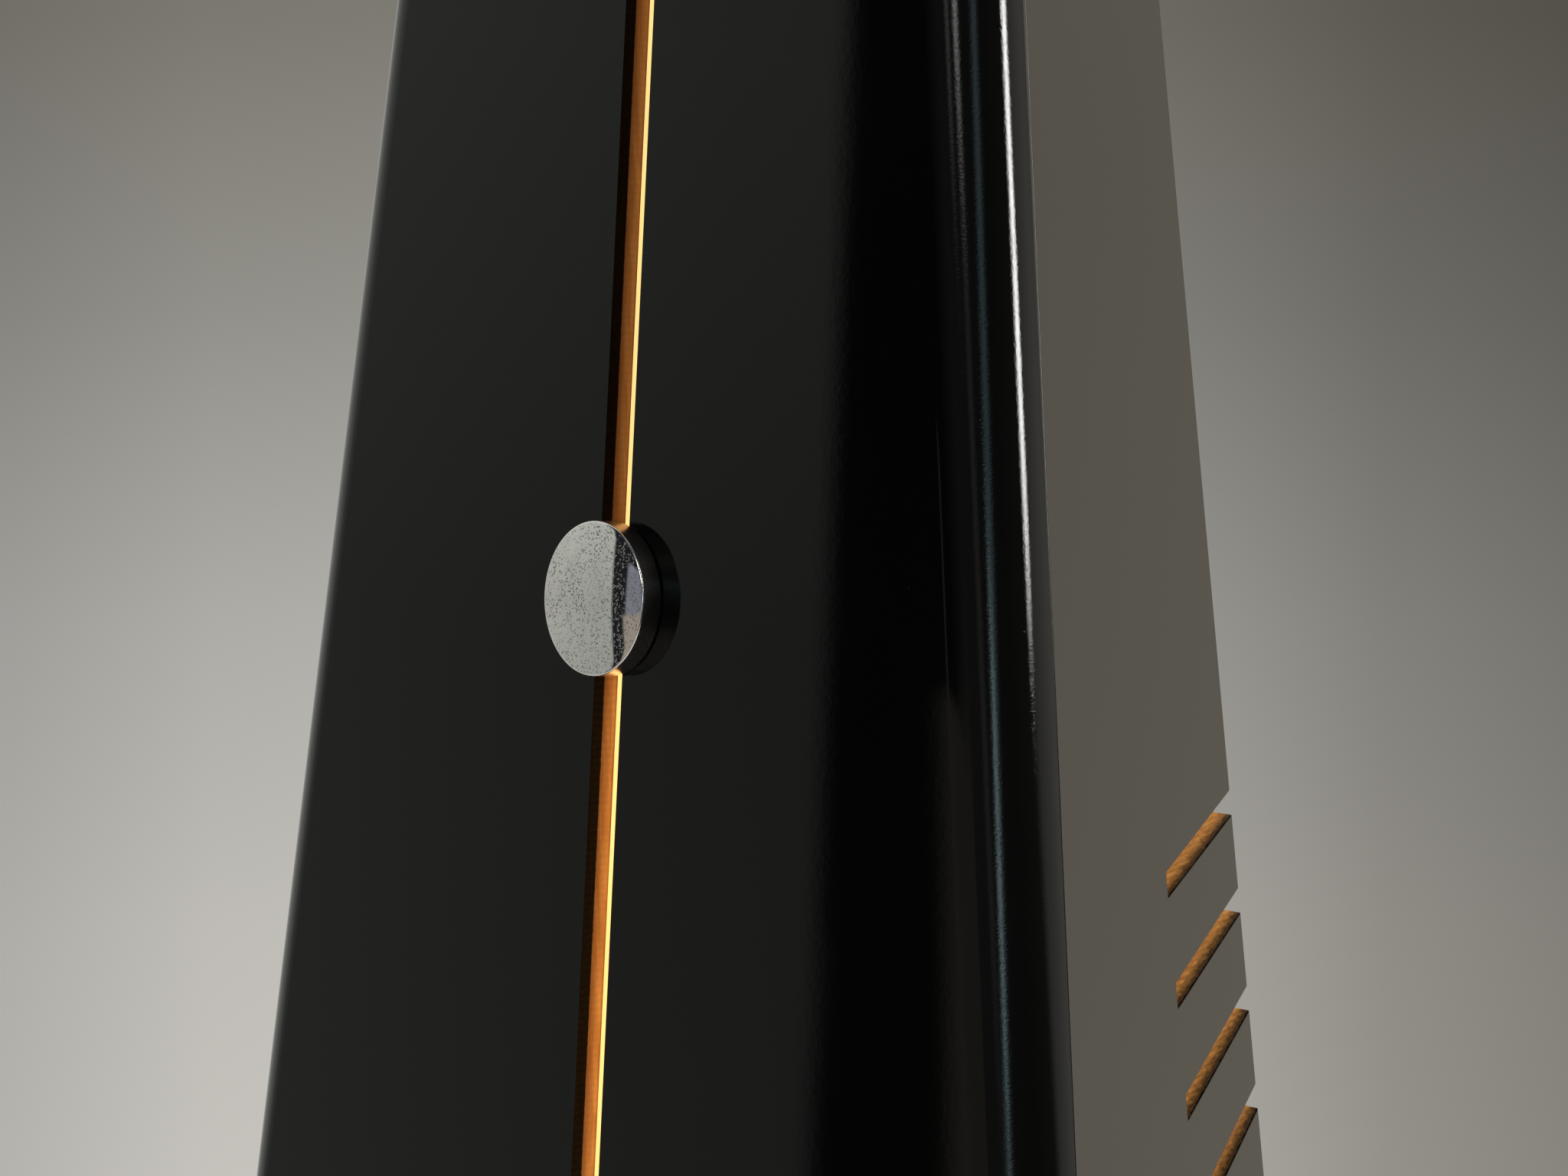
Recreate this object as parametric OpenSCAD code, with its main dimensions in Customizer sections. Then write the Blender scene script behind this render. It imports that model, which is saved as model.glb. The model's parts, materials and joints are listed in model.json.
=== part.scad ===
// Large pyramid metronome: a clockwork movement and a lit scale stand in a slim,
// flat-backed case, and a disc on the lift-off front cover sets the tempo weight.
// X is to the right, Y to the back and Z up. The origin is the middle of the footprint.

/* [Case] */
// Height of the case over its feet
case_h = 820; // [680:5:985]
// Width of the footprint
base_w = 390; // [360:1:480]
// Depth of the footprint
base_d = 104; // [102:0.5:126]
// Lean of each side, in degrees
side_taper = 7.5; // [6:0.1:8]
// Lean of the front, in degrees
front_lean = 3.84; // [3:0.02:4]
// Radius of the two front corners
corner_r = 17.65; // [14.5:0.05:22]
// Thickness of the side panels
side_t = 12; // [10:0.5:15]
// Thickness of the plinth and of the top cap
board_t = 12; // [8:0.5:16]
// Thickness of the back panel
back_t = 6; // [4:0.5:8]
// Depth of the recess behind the back panel
back_recess = 10; // [9:0.5:12]
// Height of the rubber feet
foot_h = 3; // [2:0.5:6]

/* [Front cover] */
// Thickness of the cover's board
cover_t = 8; // [6.5:0.25:9.6]
// Width of the slit
slit_w = 11.14; // [8:0.02:16]
// Height of the slit's lower end, along the front
slit_low = 120; // [100:5:160]
// Distance from the slit's upper end to the top of the case
slit_top_rail = 50; // [36:1:80]
// Diameter of the locating pegs
peg_d = 6; // [4:0.5:7]

/* [Side slots] */
// Number of slots in each side panel
slot_count = 8; // [4:1:9]
// Height of the first slot's upper corner at the back edge
slot_top = 388.5; // [350:0.5:480]
// Distance from slot to slot
slot_pitch = 23.6; // [20:0.1:30]
// Height of a slot's mouth
slot_gap = 5.8; // [4:0.1:9]
// Length of a slot from the back edge forward
slot_len = 25.6; // [16:0.1:32]
// Slope of the first slot, in degrees
slot_slope = 33.4; // [25:0.1:40]
// Added slope from slot to slot, in degrees
slot_turn = 3.8; // [0:0.1:4]

/* [Tempo disc] */
// Diameter of the disc
disc_d = 40; // [30:0.5:50]
// Thickness of the disc
disc_t = 7; // [4:0.25:10]
// Height of the disc along the front, at rest
disc_h = 431; // [330:1:540]
// Height of the guide block in the slit
block_h = 22; // [14:1:28]

/* [Pendulum] */
// Greatest swing to each side, in degrees
swing = 7; // [5:0.5:8]
// Diameter of the rod
rod_d = 4; // [3:0.25:5]
// Diameter of the bob
bob_d = 84; // [70:1:90]
// Distance from the pivot down to the bob's centre
bob_drop = 118; // [100:1:122]
// Width of the tempo weight
weight_w = 30; // [24:1:36]
// Height of the tempo weight
weight_h = 26; // [18:1:30]

/* [Movement] */
// Thickness of the movement's plates
plate_t = 2; // [1.5:0.25:3]
// Width of the movement's plates
plate_w = 124; // [118:1:140]
// Teeth of the great wheel
great_teeth = 72; // [60:12:72]
// Teeth of the second wheel
second_teeth = 60; // [48:12:60]
// Teeth of the second arbor's pinion
second_leaves = 12; // [12:4:16]
// Teeth of the escape arbor's pinion
escape_leaves = 10; // [8:2:12]
// Tooth module of the great wheel
great_module = 1.25; // [1:0.05:1.3]
// Tooth module of the second wheel
second_module = 1; // [0.8:0.05:1.1]
// Radius of the escape wheel's tips
escape_r = 28; // [24:0.5:30]
// Radius of the mainspring barrel
barrel_r = 38; // [30:0.5:40]

/* [Lamp] */
// Diameter of the lamp tube
tube_d = 16; // [12:0.5:18]
// Length of the lamp tube between its holders
tube_len = 320; // [240:5:340]
// Thickness of the opal scale plate
opal_t = 3; // [2:0.25:4]

/* [Hidden] */
$fn = 48;
film = 0.01;          // thickness of the slices that the tapered forms are lofted from
past = 1;             // how far a cutter runs past the face that it cuts
big = 2000;           // larger than the case in any direction
seat_gap = 0.1;       // between glued or screwed pieces of one body
slide_gap = 0.25;     // between flat faces that slide or lift apart
seam_gap = 0.05;      // each side of the seam between the front cover and the sides
fit_gap = 0.05;       // radial clearance of a shaft that turns or slides in its bore
seat_play = 0.02;     // radial clearance of a piece fixed on its shaft
corner_steps = 24;    // facets in each front corner

half_base = base_d / 2;
seam_d = corner_r;                        // depth of the seam behind the front face
case_low = foot_h;
sides_low = foot_h + board_t;
sides_high = case_h - board_t;
back_y = half_base - back_recess;         // outer face of the back panel
back_in_y = back_y - back_t;

function half_w(z) = base_w / 2 - z * tan(side_taper);
function inner_w(z) = half_w(z) - side_t / cos(side_taper);
function front_y(z) = -half_base + z * tan(front_lean);
// Depth, square to the front, of the vertical plane y at height h along the front
function depth_at(y, h) = (y + half_base - h * sin(front_lean)) / cos(front_lean);
function arc(x, y, r, from, to) =
    [for (i = [0 : corner_steps])
        let (a = from + (to - from) * i / corner_steps) [x + r * cos(a), y + r * sin(a)]];
function case_outline(z) =
    let (w = half_w(z), f = front_y(z), r = corner_r)
    concat([[w, half_base], [-w, half_base]],
        arc(-w + r, f + r, r, 180, 270), arc(w - r, f + r, r, 270, 360));

// Depths behind the front face, from the front to the back
yoke_front = cover_t + 1.2;
yoke_t = 1.5;
rod_depth = yoke_front + yoke_t + 4.3;
weight_t = 7.6;
opal_front = rod_depth + weight_t / 2 + 1.2;
bob_front = yoke_front + yoke_t + 0.8;
bob_t = 14;
plates_front = bob_front + bob_t + 2.5;
plates_gap = 34;
inner_front = plates_front + plate_t;
inner_back = inner_front + plates_gap;
plates_back = inner_back + plate_t;

// Places of the arbors, as [x, height along the front]
barrel_at = [0, 95];
escape_at = [0, barrel_at[1] + 75];
pivot_at = [0, escape_at[1] + escape_r * sqrt(2)];
great_reach = great_module * (great_teeth + second_leaves) / 2;
second_reach = second_module * (second_teeth + escape_leaves) / 2;
train_span = escape_at[1] - barrel_at[1];
second_up = (great_reach * great_reach - second_reach * second_reach + train_span * train_span)
    / (2 * train_span);
second_at = [-sqrt(great_reach * great_reach - second_up * second_up), barrel_at[1] + second_up];
great_angle = atan2(second_at[1] - barrel_at[1], second_at[0] - barrel_at[0]);
second_angle = atan2(escape_at[1] - second_at[1], escape_at[0] - second_at[0]);

// Depths of the wheels between the plates
second_wheel_d = inner_front + 8;
great_wheel_d = inner_front + 16.5;
barrel_len = 12;
escape_wheel_d = inner_front + 21;
wheel_t = 2;
great_t = 2.5;
barrel_d = great_wheel_d + great_t;
arbor_d = 4;
winding_d = 8;
pivot_d = 5;

slit_high = case_h / cos(front_lean) - slit_top_rail;
rod_high = slit_high - 12;
rod_low = pivot_at[1] - bob_drop - bob_d / 2 + 12;
disc_high = slit_high - disc_d / 2 - 6;
window_half = (disc_high - pivot_at[1]) * sin(swing) + 3.5;
window_r = 400;
window_gap = 2;
pin_d = 4;
yoke_half = window_half + 5;
yoke_h = 26;
plates_low = 44;
plates_high = pivot_at[1] + 24;
stop_h = plates_high + 17;
opal_low = plates_high + 3;
opal_high = slit_high + 8;
peg_heights = [60, case_h - 60];
peg_len = 12;
peg_out = 6;
pillar_x = plate_w / 2 - 8;
pillar_heights = [plates_low + 8, plates_high - 8];
key_len = 6;
lobe_d = 18;
lobe_x = 17;
ratchet_teeth = 24;
ratchet_r = 15;
ratchet_t = 2.5;
click_at = barrel_at + [17, 24];
stop_travel = 6;
stop_rod_d = 6;
pad_d = 15;
knob_d = 16;
tube_y = back_in_y - 2.5 - tube_d / 2;
tube_low = 296;
tube_high = tube_low + tube_len;
holder_w = 24;
holder_h = 18;
reflector_t = 1;
reflector_w = 90;
inlet_at = [-90, 62];
switch_at = [90, 62];
inlet_w = 26;
inlet_h = 18;
inlet_d = 14;
switch_w = 22;
switch_h = 30;
lead_d = 5;

// Frame of the leaning front: X across, Y into the case square to the front, Z up the front
module lean() translate([0, -half_base, 0]) rotate([-front_lean, 0, 0]) children();

// A cylinder that runs into the case from depth d0 to depth d1 at place p
module into(p, d0, d1, d) lean() translate([p[0], d0, p[1]]) rotate([-90, 0, 0])
    cylinder(d = d, h = d1 - d0);

// A flat shape in the plane of the front, from depth d0 to depth d1
module sheet(d0, d1) lean() translate([0, d1, 0]) rotate([90, 0, 0])
    linear_extrude(d1 - d0) children();

// Everything between two depths behind the front
module depth_slab(d0, d1) lean() translate([-big / 2, d0, -big / 2]) cube([big, d1 - d0, big]);

// Everything between two heights
module height_slab(z0, z1) translate([-big / 2, -big / 2, z0]) cube([big, big, z1 - z0]);

// The outer form of the case between two heights
module case_form(z0, z1) hull() for (z = [z0, z1 - film])
    translate([0, 0, z]) linear_extrude(film) polygon(case_outline(z));

// The space between the side panels, less a gap, between two heights
module between_sides(z0, z1, gap) rotate([90, 0, 0]) linear_extrude(big, center = true)
    polygon([[-inner_w(z0) + gap, z0], [inner_w(z0) - gap, z0],
        [inner_w(z1) - gap, z1], [-inner_w(z1) + gap, z1]]);

// A rectangle with its corners cut off by c
module clipped(w, h, c) polygon([[w / 2 - c, -h / 2], [w / 2, -h / 2 + c], [w / 2, h / 2 - c],
    [w / 2 - c, h / 2], [-w / 2 + c, h / 2], [-w / 2, h / 2 - c], [-w / 2, -h / 2 + c],
    [-w / 2 + c, -h / 2]]);

// ---------------------------------------------------------------- case
foot_d = 22;
foot_at = [half_w(0) - 34, half_base - 24];

module plinth() color("#1b1b19") case_form(case_low, sides_low - seat_gap);

module feet() color("#222222") for (x = [-1, 1], y = [-1, 1])
    translate([x * foot_at[0], y * foot_at[1], 0]) rotate_extrude()
        polygon([[0, foot_h * 0.6], [4, foot_h * 0.6], [4, 0], [foot_d / 2 - 0.8, 0],
            [foot_d / 2, 0.8], [foot_d / 2, foot_h], [0, foot_h]]);

module side_slot(i) {
    top = slot_top - i * slot_pitch;
    fall = slot_len * tan(slot_slope + i * slot_turn);
    rotate([90, 0, 90]) linear_extrude(big, center = true)
        polygon([[half_base + past, top + past * tan(slot_slope + i * slot_turn)],
            [half_base + past, top - slot_gap + past * tan(slot_slope + i * slot_turn)],
            [half_base - slot_len, top - slot_gap - fall],
            [half_base - slot_len, top - fall]]);
}

// Middle of the side panel's thickness at height h along the front
function peg_x(h) = half_w(h * cos(front_lean)) - side_t / 2 / cos(side_taper);

module side_panel() color("#4c4a45") difference() {
    intersection() {
        translate([base_w / 2, 0, 0]) rotate([0, -side_taper, 0])
            translate([-side_t, -big / 2, -big / 4]) cube([side_t, big / 2 + half_base, big]);
        height_slab(sides_low, sides_high);
        depth_slab(seam_d + seam_gap, big);
    }
    for (i = [0 : slot_count - 1]) side_slot(i);
    for (h = peg_heights)
        into([peg_x(h), h], seam_d - past, seam_d + peg_out + 1, peg_d + 2 * fit_gap);
}

module side_panel_right() side_panel();
module side_panel_left() mirror([1, 0, 0]) side_panel();

key_hole_d = winding_d + 6;
module back_panel() color("#6b4a26") difference() {
    intersection() {
        between_sides(sides_low + seat_gap, sides_high - seat_gap, seat_gap);
        translate([-big / 2, back_in_y, -big / 2]) cube([big, back_t, big]);
    }
    into(barrel_at, plates_back, depth_at(half_base, barrel_at[1]), key_hole_d);
    into([0, stop_h], plates_back, depth_at(half_base, stop_h), stop_rod_d + 6);
    back_screw_places() translate([0, 0, -past]) cylinder(d = screw_d + 2 * fit_gap, h = back_t + 2);
    translate([inlet_at[0] - inlet_w / 2, back_in_y - past, inlet_at[1] - inlet_h / 2])
        cube([inlet_w, back_t + 2 * past, inlet_h]);
    translate([switch_at[0] - switch_w / 2, back_in_y - past, switch_at[1] - switch_h / 2])
        cube([switch_w, back_t + 2 * past, switch_h]);
}

module top_cap() color("#1b1b19") case_form(sides_high + seat_gap, case_h);

// Battens glued inside the side panels take the back panel's screws
batten_w = 12;
module back_battens() color("#b98a4e") difference() {
    intersection() {
        between_sides(sides_low + seat_gap, sides_high - seat_gap, seat_gap);
        translate([-big / 2, back_in_y - batten_w, -big / 2]) cube([big, batten_w - seat_gap, big]);
        depth_slab(opal_back + rail_t + seat_gap, big);
    }
    between_sides(0, case_h, batten_w);
    back_screw_places() cylinder(d = screw_d + 2 * seat_play, h = batten_w + back_t);
}

back_screw_heights = [60, (sides_low + sides_high) / 2, sides_high - 60];
screw_bite = 5;
head_t = 2.2;
module back_screw_places() for (side = [-1, 1], z = back_screw_heights)
    translate([side * (inner_w(z) - batten_w / 2), back_y, z]) rotate([90, 0, 0]) children();

module back_screws() color("#c9c4b4") back_screw_places() difference() {
    union() {
        translate([0, 0, -head_t]) cylinder(d1 = 5.5, d2 = 8, h = head_t);
        cylinder(d = screw_d, h = back_t + screw_bite);
    }
    translate([0, 0, -head_t]) cube([9, 1.2, 2], center = true);
}

// ---------------------------------------------------------------- front cover
// The cover's top is cut square to its front, so that it lifts off under the top cap
module below_square_cut(h) lean() translate([-big / 2, -big / 2, -big / 4])
    cube([big, big, big / 4 + h]);

cover_low = sides_low + slide_gap;
cover_high = sides_high - slide_gap;
cover_rail = 14;

module slit_cut() {
    sheet(-past - corner_r, seam_d) union() {
        translate([-slit_w / 2, slit_low + slit_w / 2])
            square([slit_w, slit_high - slit_low - slit_w]);
        translate([0, slit_low + slit_w / 2]) circle(d = slit_w);
        translate([0, slit_high - slit_w / 2]) circle(d = slit_w);
    }
}

module front_cover() color("#161614") difference() {
    intersection() {
        case_form(cover_low, sides_high);
        depth_slab(-past, seam_d - seam_gap);
        below_square_cut(cover_high / cos(front_lean));
    }
    intersection() {
        between_sides(cover_low + cover_rail, cover_high - cover_rail, 0);
        depth_slab(cover_t, seam_d + past);
    }
    slit_cut();
    for (side = [-1, 1], h = peg_heights)
        into([side * peg_x(h), h], seam_d - seam_gap - peg_len + peg_out, seam_d + past, peg_d);
}

module cover_pegs() color("#b08d57") for (side = [-1, 1], h = peg_heights)
    into([side * peg_x(h), h], seam_d - seam_gap - peg_len + peg_out, seam_d + peg_out, peg_d);

// ---------------------------------------------------------------- tempo disc
block_w = slit_w - 2 * slide_gap;
disc_at = [0, disc_h];
disc_edge = 0.5;
dome_rise = 0.75;
dome_r = (disc_d * disc_d / 4 + dome_rise * dome_rise) / (2 * dome_rise);
rim_t = disc_t - dome_rise;
screw_d = 3;
screw_rise = block_h / 2 - 2.8;

module tempo_disc() color("#d8d8d8") lean() translate([0, -slide_gap, disc_h]) rotate([90, 0, 0])
    intersection() {
        rotate_extrude($fn = 96) polygon([[0, 0], [disc_d / 2, 0], [disc_d / 2, rim_t - disc_edge],
            [disc_d / 2 - disc_edge, rim_t], [disc_d / 2 - disc_edge, disc_t], [0, disc_t]]);
        translate([0, 0, disc_t - dome_r]) sphere(dome_r, $fn = 180);
    }

module guide_block() color("#b08d57") difference() {
    sheet(-slide_gap, yoke_front - 1) translate([-block_w / 2, disc_h - block_h / 2])
        square([block_w, block_h]);
    for (s = [-1, 1]) into([0, disc_h + s * screw_rise], 0, yoke_front, screw_d);
}

module slide_washer() color("#7a1f1f") difference() {
    sheet(yoke_front - 1, yoke_front) translate([0, disc_h]) clipped(26, yoke_h, 3);
    for (s = [-1, 1]) into([0, disc_h + s * screw_rise], 0, yoke_front + past, screw_d);
}

// The arc in which the weight's pin swings
module arc_window() intersection() {
    translate([0, -window_r]) difference() {
        circle(window_r + pin_d / 2 + window_gap, $fn = 180);
        circle(window_r - pin_d / 2 - window_gap, $fn = 180);
    }
    translate([-window_half - pin_d / 2, -window_r / 4])
        square([2 * window_half + pin_d, window_r / 2]);
}

yoke_drop = 3;
module tempo_yoke() color("#c8a24a") difference() {
    sheet(yoke_front, yoke_front + yoke_t) translate([0, disc_h]) difference() {
        translate([0, -yoke_drop]) clipped(2 * yoke_half, yoke_h + 2, 4);
        arc_window();
    }
    for (s = [-1, 1]) into([0, disc_h + s * screw_rise], 0, yoke_front + yoke_t + past, screw_d);
}

module yoke_screws() color("#c8c8c8") for (s = [-1, 1]) {
    into([0, disc_h + s * screw_rise], 1, yoke_front + yoke_t, screw_d);
    into([0, disc_h + s * screw_rise], yoke_front + yoke_t, yoke_front + yoke_t + 0.4, screw_d);
}

// ---------------------------------------------------------------- pendulum
hub_d = 18;
arbor_front = rod_depth + rod_d / 2 + 0.2;
hub_back = arbor_front + 4;

module along_rod(h0, h1, d) lean() translate([0, rod_depth, h0]) cylinder(d = d, h = h1 - h0);

module pendulum_rod() color("#d0d0d0") along_rod(rod_low, rod_high, rod_d);

module pendulum_hub() color("#c8a24a") difference() {
    into(pivot_at, rod_depth - rod_d / 2 - 1.5, hub_back, hub_d);
    along_rod(pivot_at[1] - hub_d, pivot_at[1] + hub_d, rod_d + fit_gap);
    into(pivot_at, arbor_front - seat_play, hub_back + past, pivot_d + 2 * seat_play);
}

bob_at = pivot_at - [0, bob_drop];
bob_edge = 3;
module pendulum_bob() color("#3c3c3a") difference() {
    lean() translate([0, bob_front, bob_at[1]]) rotate([-90, 0, 0]) rotate_extrude($fn = 96)
        polygon([[0, 0], [bob_d / 2 - bob_edge, 0], [bob_d / 2, bob_edge],
            [bob_d / 2, bob_t - bob_edge], [bob_d / 2 - bob_edge, bob_t], [0, bob_t]]);
    along_rod(rod_low - fit_gap, bob_at[1] + bob_d, rod_d + fit_gap);
}

module pendulum_arbor() color("#d0d0d0") into(pivot_at, arbor_front, plates_back + 1.5, pivot_d);

pallet_t = 3;
pallet_clear = 0.6;    // between a pallet and the escape wheel with the rod upright
pallet_arm = escape_r + 8;
module pallet_anchor() color("#b8b8b8")
    sheet(escape_wheel_d - 1, escape_wheel_d + wheel_t + 1) difference() {
        union() {
            translate(pivot_at) circle(d = 14);
            for (s = [-1, 1]) {
                reach = escape_at + pallet_arm * [s * sin(45), cos(45)] - pivot_at;
                translate(pivot_at) rotate(atan2(reach[1], reach[0]))
                    translate([0, -3]) square([norm(reach) + 1.5, 6]);
                translate(escape_at) rotate(-s * 45)
                    translate([-pallet_t / 2, escape_r + pallet_clear]) square([pallet_t, 8]);
            }
        }
        translate(pivot_at) circle(d = pivot_d + 2 * seat_play);
    }

module tempo_weight() color("#c8a24a") difference() {
    sheet(rod_depth - weight_t / 2, rod_depth + weight_t / 2) translate([0, disc_h])
        polygon([[-weight_w * 0.36, -weight_h / 2], [weight_w * 0.36, -weight_h / 2],
            [weight_w / 2, weight_h / 2], [-weight_w / 2, weight_h / 2]]);
    along_rod(disc_h - weight_h, disc_h + weight_h, rod_d + 2 * fit_gap);
    into(disc_at, yoke_front, rod_depth - rod_d / 2 - 0.3, pin_d);
}

module weight_pin() color("#d0d0d0") into(disc_at, yoke_front + 0.4, rod_depth - rod_d / 2 - 0.3, pin_d);

// ---------------------------------------------------------------- scale
opal_back = opal_front + opal_t;
rail_w = 9;
rail_t = 8;
opal_top = opal_high * cos(front_lean);
opal_foot = opal_low * cos(front_lean);

module scale_plate() color("#ffe9a8") difference() {
    intersection() {
        between_sides(opal_foot, opal_top, 0.5);
        depth_slab(opal_front, opal_back - slide_gap);
    }
    into([0, stop_h], opal_front - past, opal_back, pad_d + 2);
}

module scale_rails() color("#b98a4e") difference() {
    intersection() {
        between_sides(opal_foot, opal_top, seat_gap);
        depth_slab(opal_back - slide_gap, opal_back + rail_t);
        translate([-big / 2, -big / 2, 0]) cube([big, big / 2 + back_in_y - seat_gap, big]);
    }
    between_sides(opal_foot - past, opal_top + past, rail_w);
}

module scale_screws() color("#c9c4b4") for (side = [-1, 1], h = [opal_low + 14, (opal_low + opal_high) / 2,
    opal_high - 14])
    into([side * (inner_w(h * cos(front_lean)) - rail_w / 2), h], opal_front - 1.4, opal_front, 5);

// ---------------------------------------------------------------- movement
module movement_block() color("#6b4a26") difference() {
    intersection() {
        lean() translate([-plate_w / 2, plates_front, -plates_low])
            cube([plate_w, plates_back - plates_front, 2 * plates_low]);
        height_slab(sides_low, big);
    }
    bracket_screw_places() translate([0, 0, -bracket_t - bracket_screw_bite - 0.2])
        cylinder(d = screw_d + 2 * seat_play, h = bracket_screw_bite + bracket_t);
}

plate_mid = (plates_low + plates_high) / 2;
module clock_plate(front, pivots) difference() {
    sheet(front, front + plate_t) translate([0, plate_mid])
        clipped(plate_w, plates_high - plates_low, 8);
    for (p = pivots) into(p[0], front - past, front + plate_t + past, p[1] + 2 * fit_gap);
    for (x = [-1, 1], h = pillar_heights)
        into([x * pillar_x, h], front - past, front + plate_t + past, screw_d + 2 * fit_gap);
    children();
}

arbor_bores = [[pivot_at, pivot_d], [escape_at, arbor_d], [second_at, arbor_d],
    [barrel_at, winding_d]];
window_at = [escape_at[0] + 30, escape_at[1] + 2];
module front_plate() color("#c8a24a") clock_plate(plates_front, arbor_bores)
    into(window_at, plates_front - past, inner_front + past, 26);
module rear_plate() color("#c8a24a") clock_plate(inner_back, arbor_bores);

module plate_pillars() color("#c8a24a") for (x = [-1, 1], h = pillar_heights)
    difference() {
        lean() translate([x * pillar_x, inner_front, h]) rotate([-90, 0, 0]) rotate_extrude()
            polygon([[0, 0], [5, 0], [5, 5], [3.5, 7], [3.5, plates_gap - 7], [5, plates_gap - 5],
                [5, plates_gap], [0, plates_gap]]);
        for (d = [inner_front - past, inner_back - plate_screw_bite - 0.2])
            into([x * pillar_x, h], d, d + plate_screw_bite + 0.2 + past, screw_d + 2 * seat_play);
    }

plate_screw_bite = 5;
plate_head_d = 7;
plate_head_t = 1.8;
slot_w = 1;

// A screw along Z: its head stands up from the origin and its shank runs down
module screw(head_d, head_h, shank) {
    difference() {
        cylinder(d = head_d, h = head_h);
        translate([0, 0, head_h]) cube([head_d + 1, slot_w, head_h], center = true);
    }
    translate([0, 0, -shank]) cylinder(d = screw_d, h = shank);
}

module plate_screws() color("#c8c8c8") for (x = [-1, 1], h = pillar_heights) {
    lean() translate([x * pillar_x, plates_front, h]) rotate([90, 0, 0])
        screw(plate_head_d, plate_head_t, plate_t + plate_screw_bite);
    lean() translate([x * pillar_x, plates_back, h]) rotate([-90, 0, 0])
        screw(plate_head_d, plate_head_t, plate_t + plate_screw_bite);
}

bracket_x = 40;
bracket_w = 12;
bracket_t = 1.5;
bracket_foot = 10;
bracket_h = 13;
module plate_brackets() color("#c8a24a") difference() {
    for (x = [-1, 1]) lean() translate([x * bracket_x - bracket_w / 2, 0, plates_low]) {
        translate([0, inner_front, 0]) cube([bracket_w, bracket_foot, bracket_t]);
        translate([0, inner_front, 0]) cube([bracket_w, bracket_t, bracket_h]);
        translate([0, inner_back - bracket_foot, 0]) cube([bracket_w, bracket_foot, bracket_t]);
        translate([0, inner_back - bracket_t, 0]) cube([bracket_w, bracket_t, bracket_h]);
    }
    bracket_screw_places() translate([0, 0, -bracket_t - past])
        cylinder(d = screw_d + 2 * fit_gap, h = bracket_t + 2 * past);
}

bracket_screw_bite = 8;
module bracket_screw_places() for (x = [-1, 1], d = [inner_front, inner_back])
    lean() translate([x * bracket_x, d + sign(plates_mid_d - d) * (bracket_foot + bracket_t) / 2,
        plates_low + bracket_t]) children();
plates_mid_d = (inner_front + inner_back) / 2;

module bracket_screws() color("#c8c8c8") bracket_screw_places()
    screw(5.5, 1.6, bracket_t + bracket_screw_bite);

// A wheel with trapezoid teeth, one of them on the X axis
module gear(teeth, mod) {
    r = teeth * mod / 2;
    step = 360 / teeth;
    polygon([for (i = [0 : teeth - 1]) for (p = [[-0.27, -1.25], [-0.1, 0.8], [0.1, 0.8], [0.27, -1.25]])
        let (a = (i + p[0]) * step) (r + p[1] * mod) * [cos(a), sin(a)]]);
}

// A wheel with its spokes cut out and its bore
module spoked(p, rim_r, hub_r, bore, turn, spokes) difference() {
    children();
    translate(p) difference() {
        circle(rim_r);
        circle(hub_r);
        for (i = [0 : spokes - 1]) rotate(turn + i * 360 / spokes) translate([0, -2]) square([rim_r + 1, 4]);
    }
    translate(p) circle(d = bore);
}

great_r = great_module * great_teeth / 2;
second_r = second_module * second_teeth / 2;

module great_wheel() color("#c8a24a") sheet(great_wheel_d, great_wheel_d + great_t)
    spoked(barrel_at, great_r - 5, 12, winding_d + 2 * fit_gap, 30, 6)
        translate(barrel_at) rotate(great_angle) gear(great_teeth, great_module);

drum_wall = 2;
module barrel() color("#d8b860") difference() {
    into(barrel_at, barrel_d, barrel_d + barrel_len, 2 * barrel_r);
    into(barrel_at, barrel_d + drum_wall, barrel_d + barrel_len + past, 2 * (barrel_r - drum_wall));
    into(barrel_at, barrel_d - past, barrel_d + barrel_len, winding_d + 2 * fit_gap);
}

module barrel_cover() color("#d8b860") difference() {
    into(barrel_at, barrel_d + barrel_len - drum_wall, barrel_d + barrel_len,
        2 * (barrel_r - drum_wall - fit_gap));
    into(barrel_at, barrel_d, barrel_d + barrel_len + past, winding_d + 2 * fit_gap);
}

spring_turns = 6;
spring_steps = 24 * spring_turns;
spring_inner = winding_d / 2 + 2;
spring_outer = barrel_r - drum_wall - 1;
spring_t = 0.8;
function spiral(i, out) =
    let (r = spring_inner + (spring_outer - spring_inner) * i / spring_steps + out,
        a = 360 * spring_turns * i / spring_steps) r * [cos(a), sin(a)];
module mainspring() color("#5a6068")
    sheet(barrel_d + drum_wall + 0.5, barrel_d + barrel_len - drum_wall - 0.5) translate(barrel_at)
        polygon(concat([for (i = [0 : spring_steps]) spiral(i, 0)],
            [for (i = [spring_steps : -1 : 0]) spiral(i, spring_t)]));

key_front = depth_at(back_y, barrel_at[1] - lobe_x - lobe_d / 2) + 0.4;
module winding_arbor() color("#d0d0d0") {
    into(barrel_at, plates_front + 0.3, key_front + key_len - 1, winding_d);
}

tooth_depth = 2;
ratchet_front = plates_back + 0.6;
module ratchet_wheel() color("#b8b8b8") sheet(ratchet_front, ratchet_front + ratchet_t)
    translate(barrel_at) difference() {
        polygon([for (i = [0 : ratchet_teeth - 1]) for (r = [ratchet_r, ratchet_r - tooth_depth])
            let (a = i * 360 / ratchet_teeth) r * [cos(a), sin(a)]]);
        circle(d = winding_d + 2 * seat_play);
    }

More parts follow.
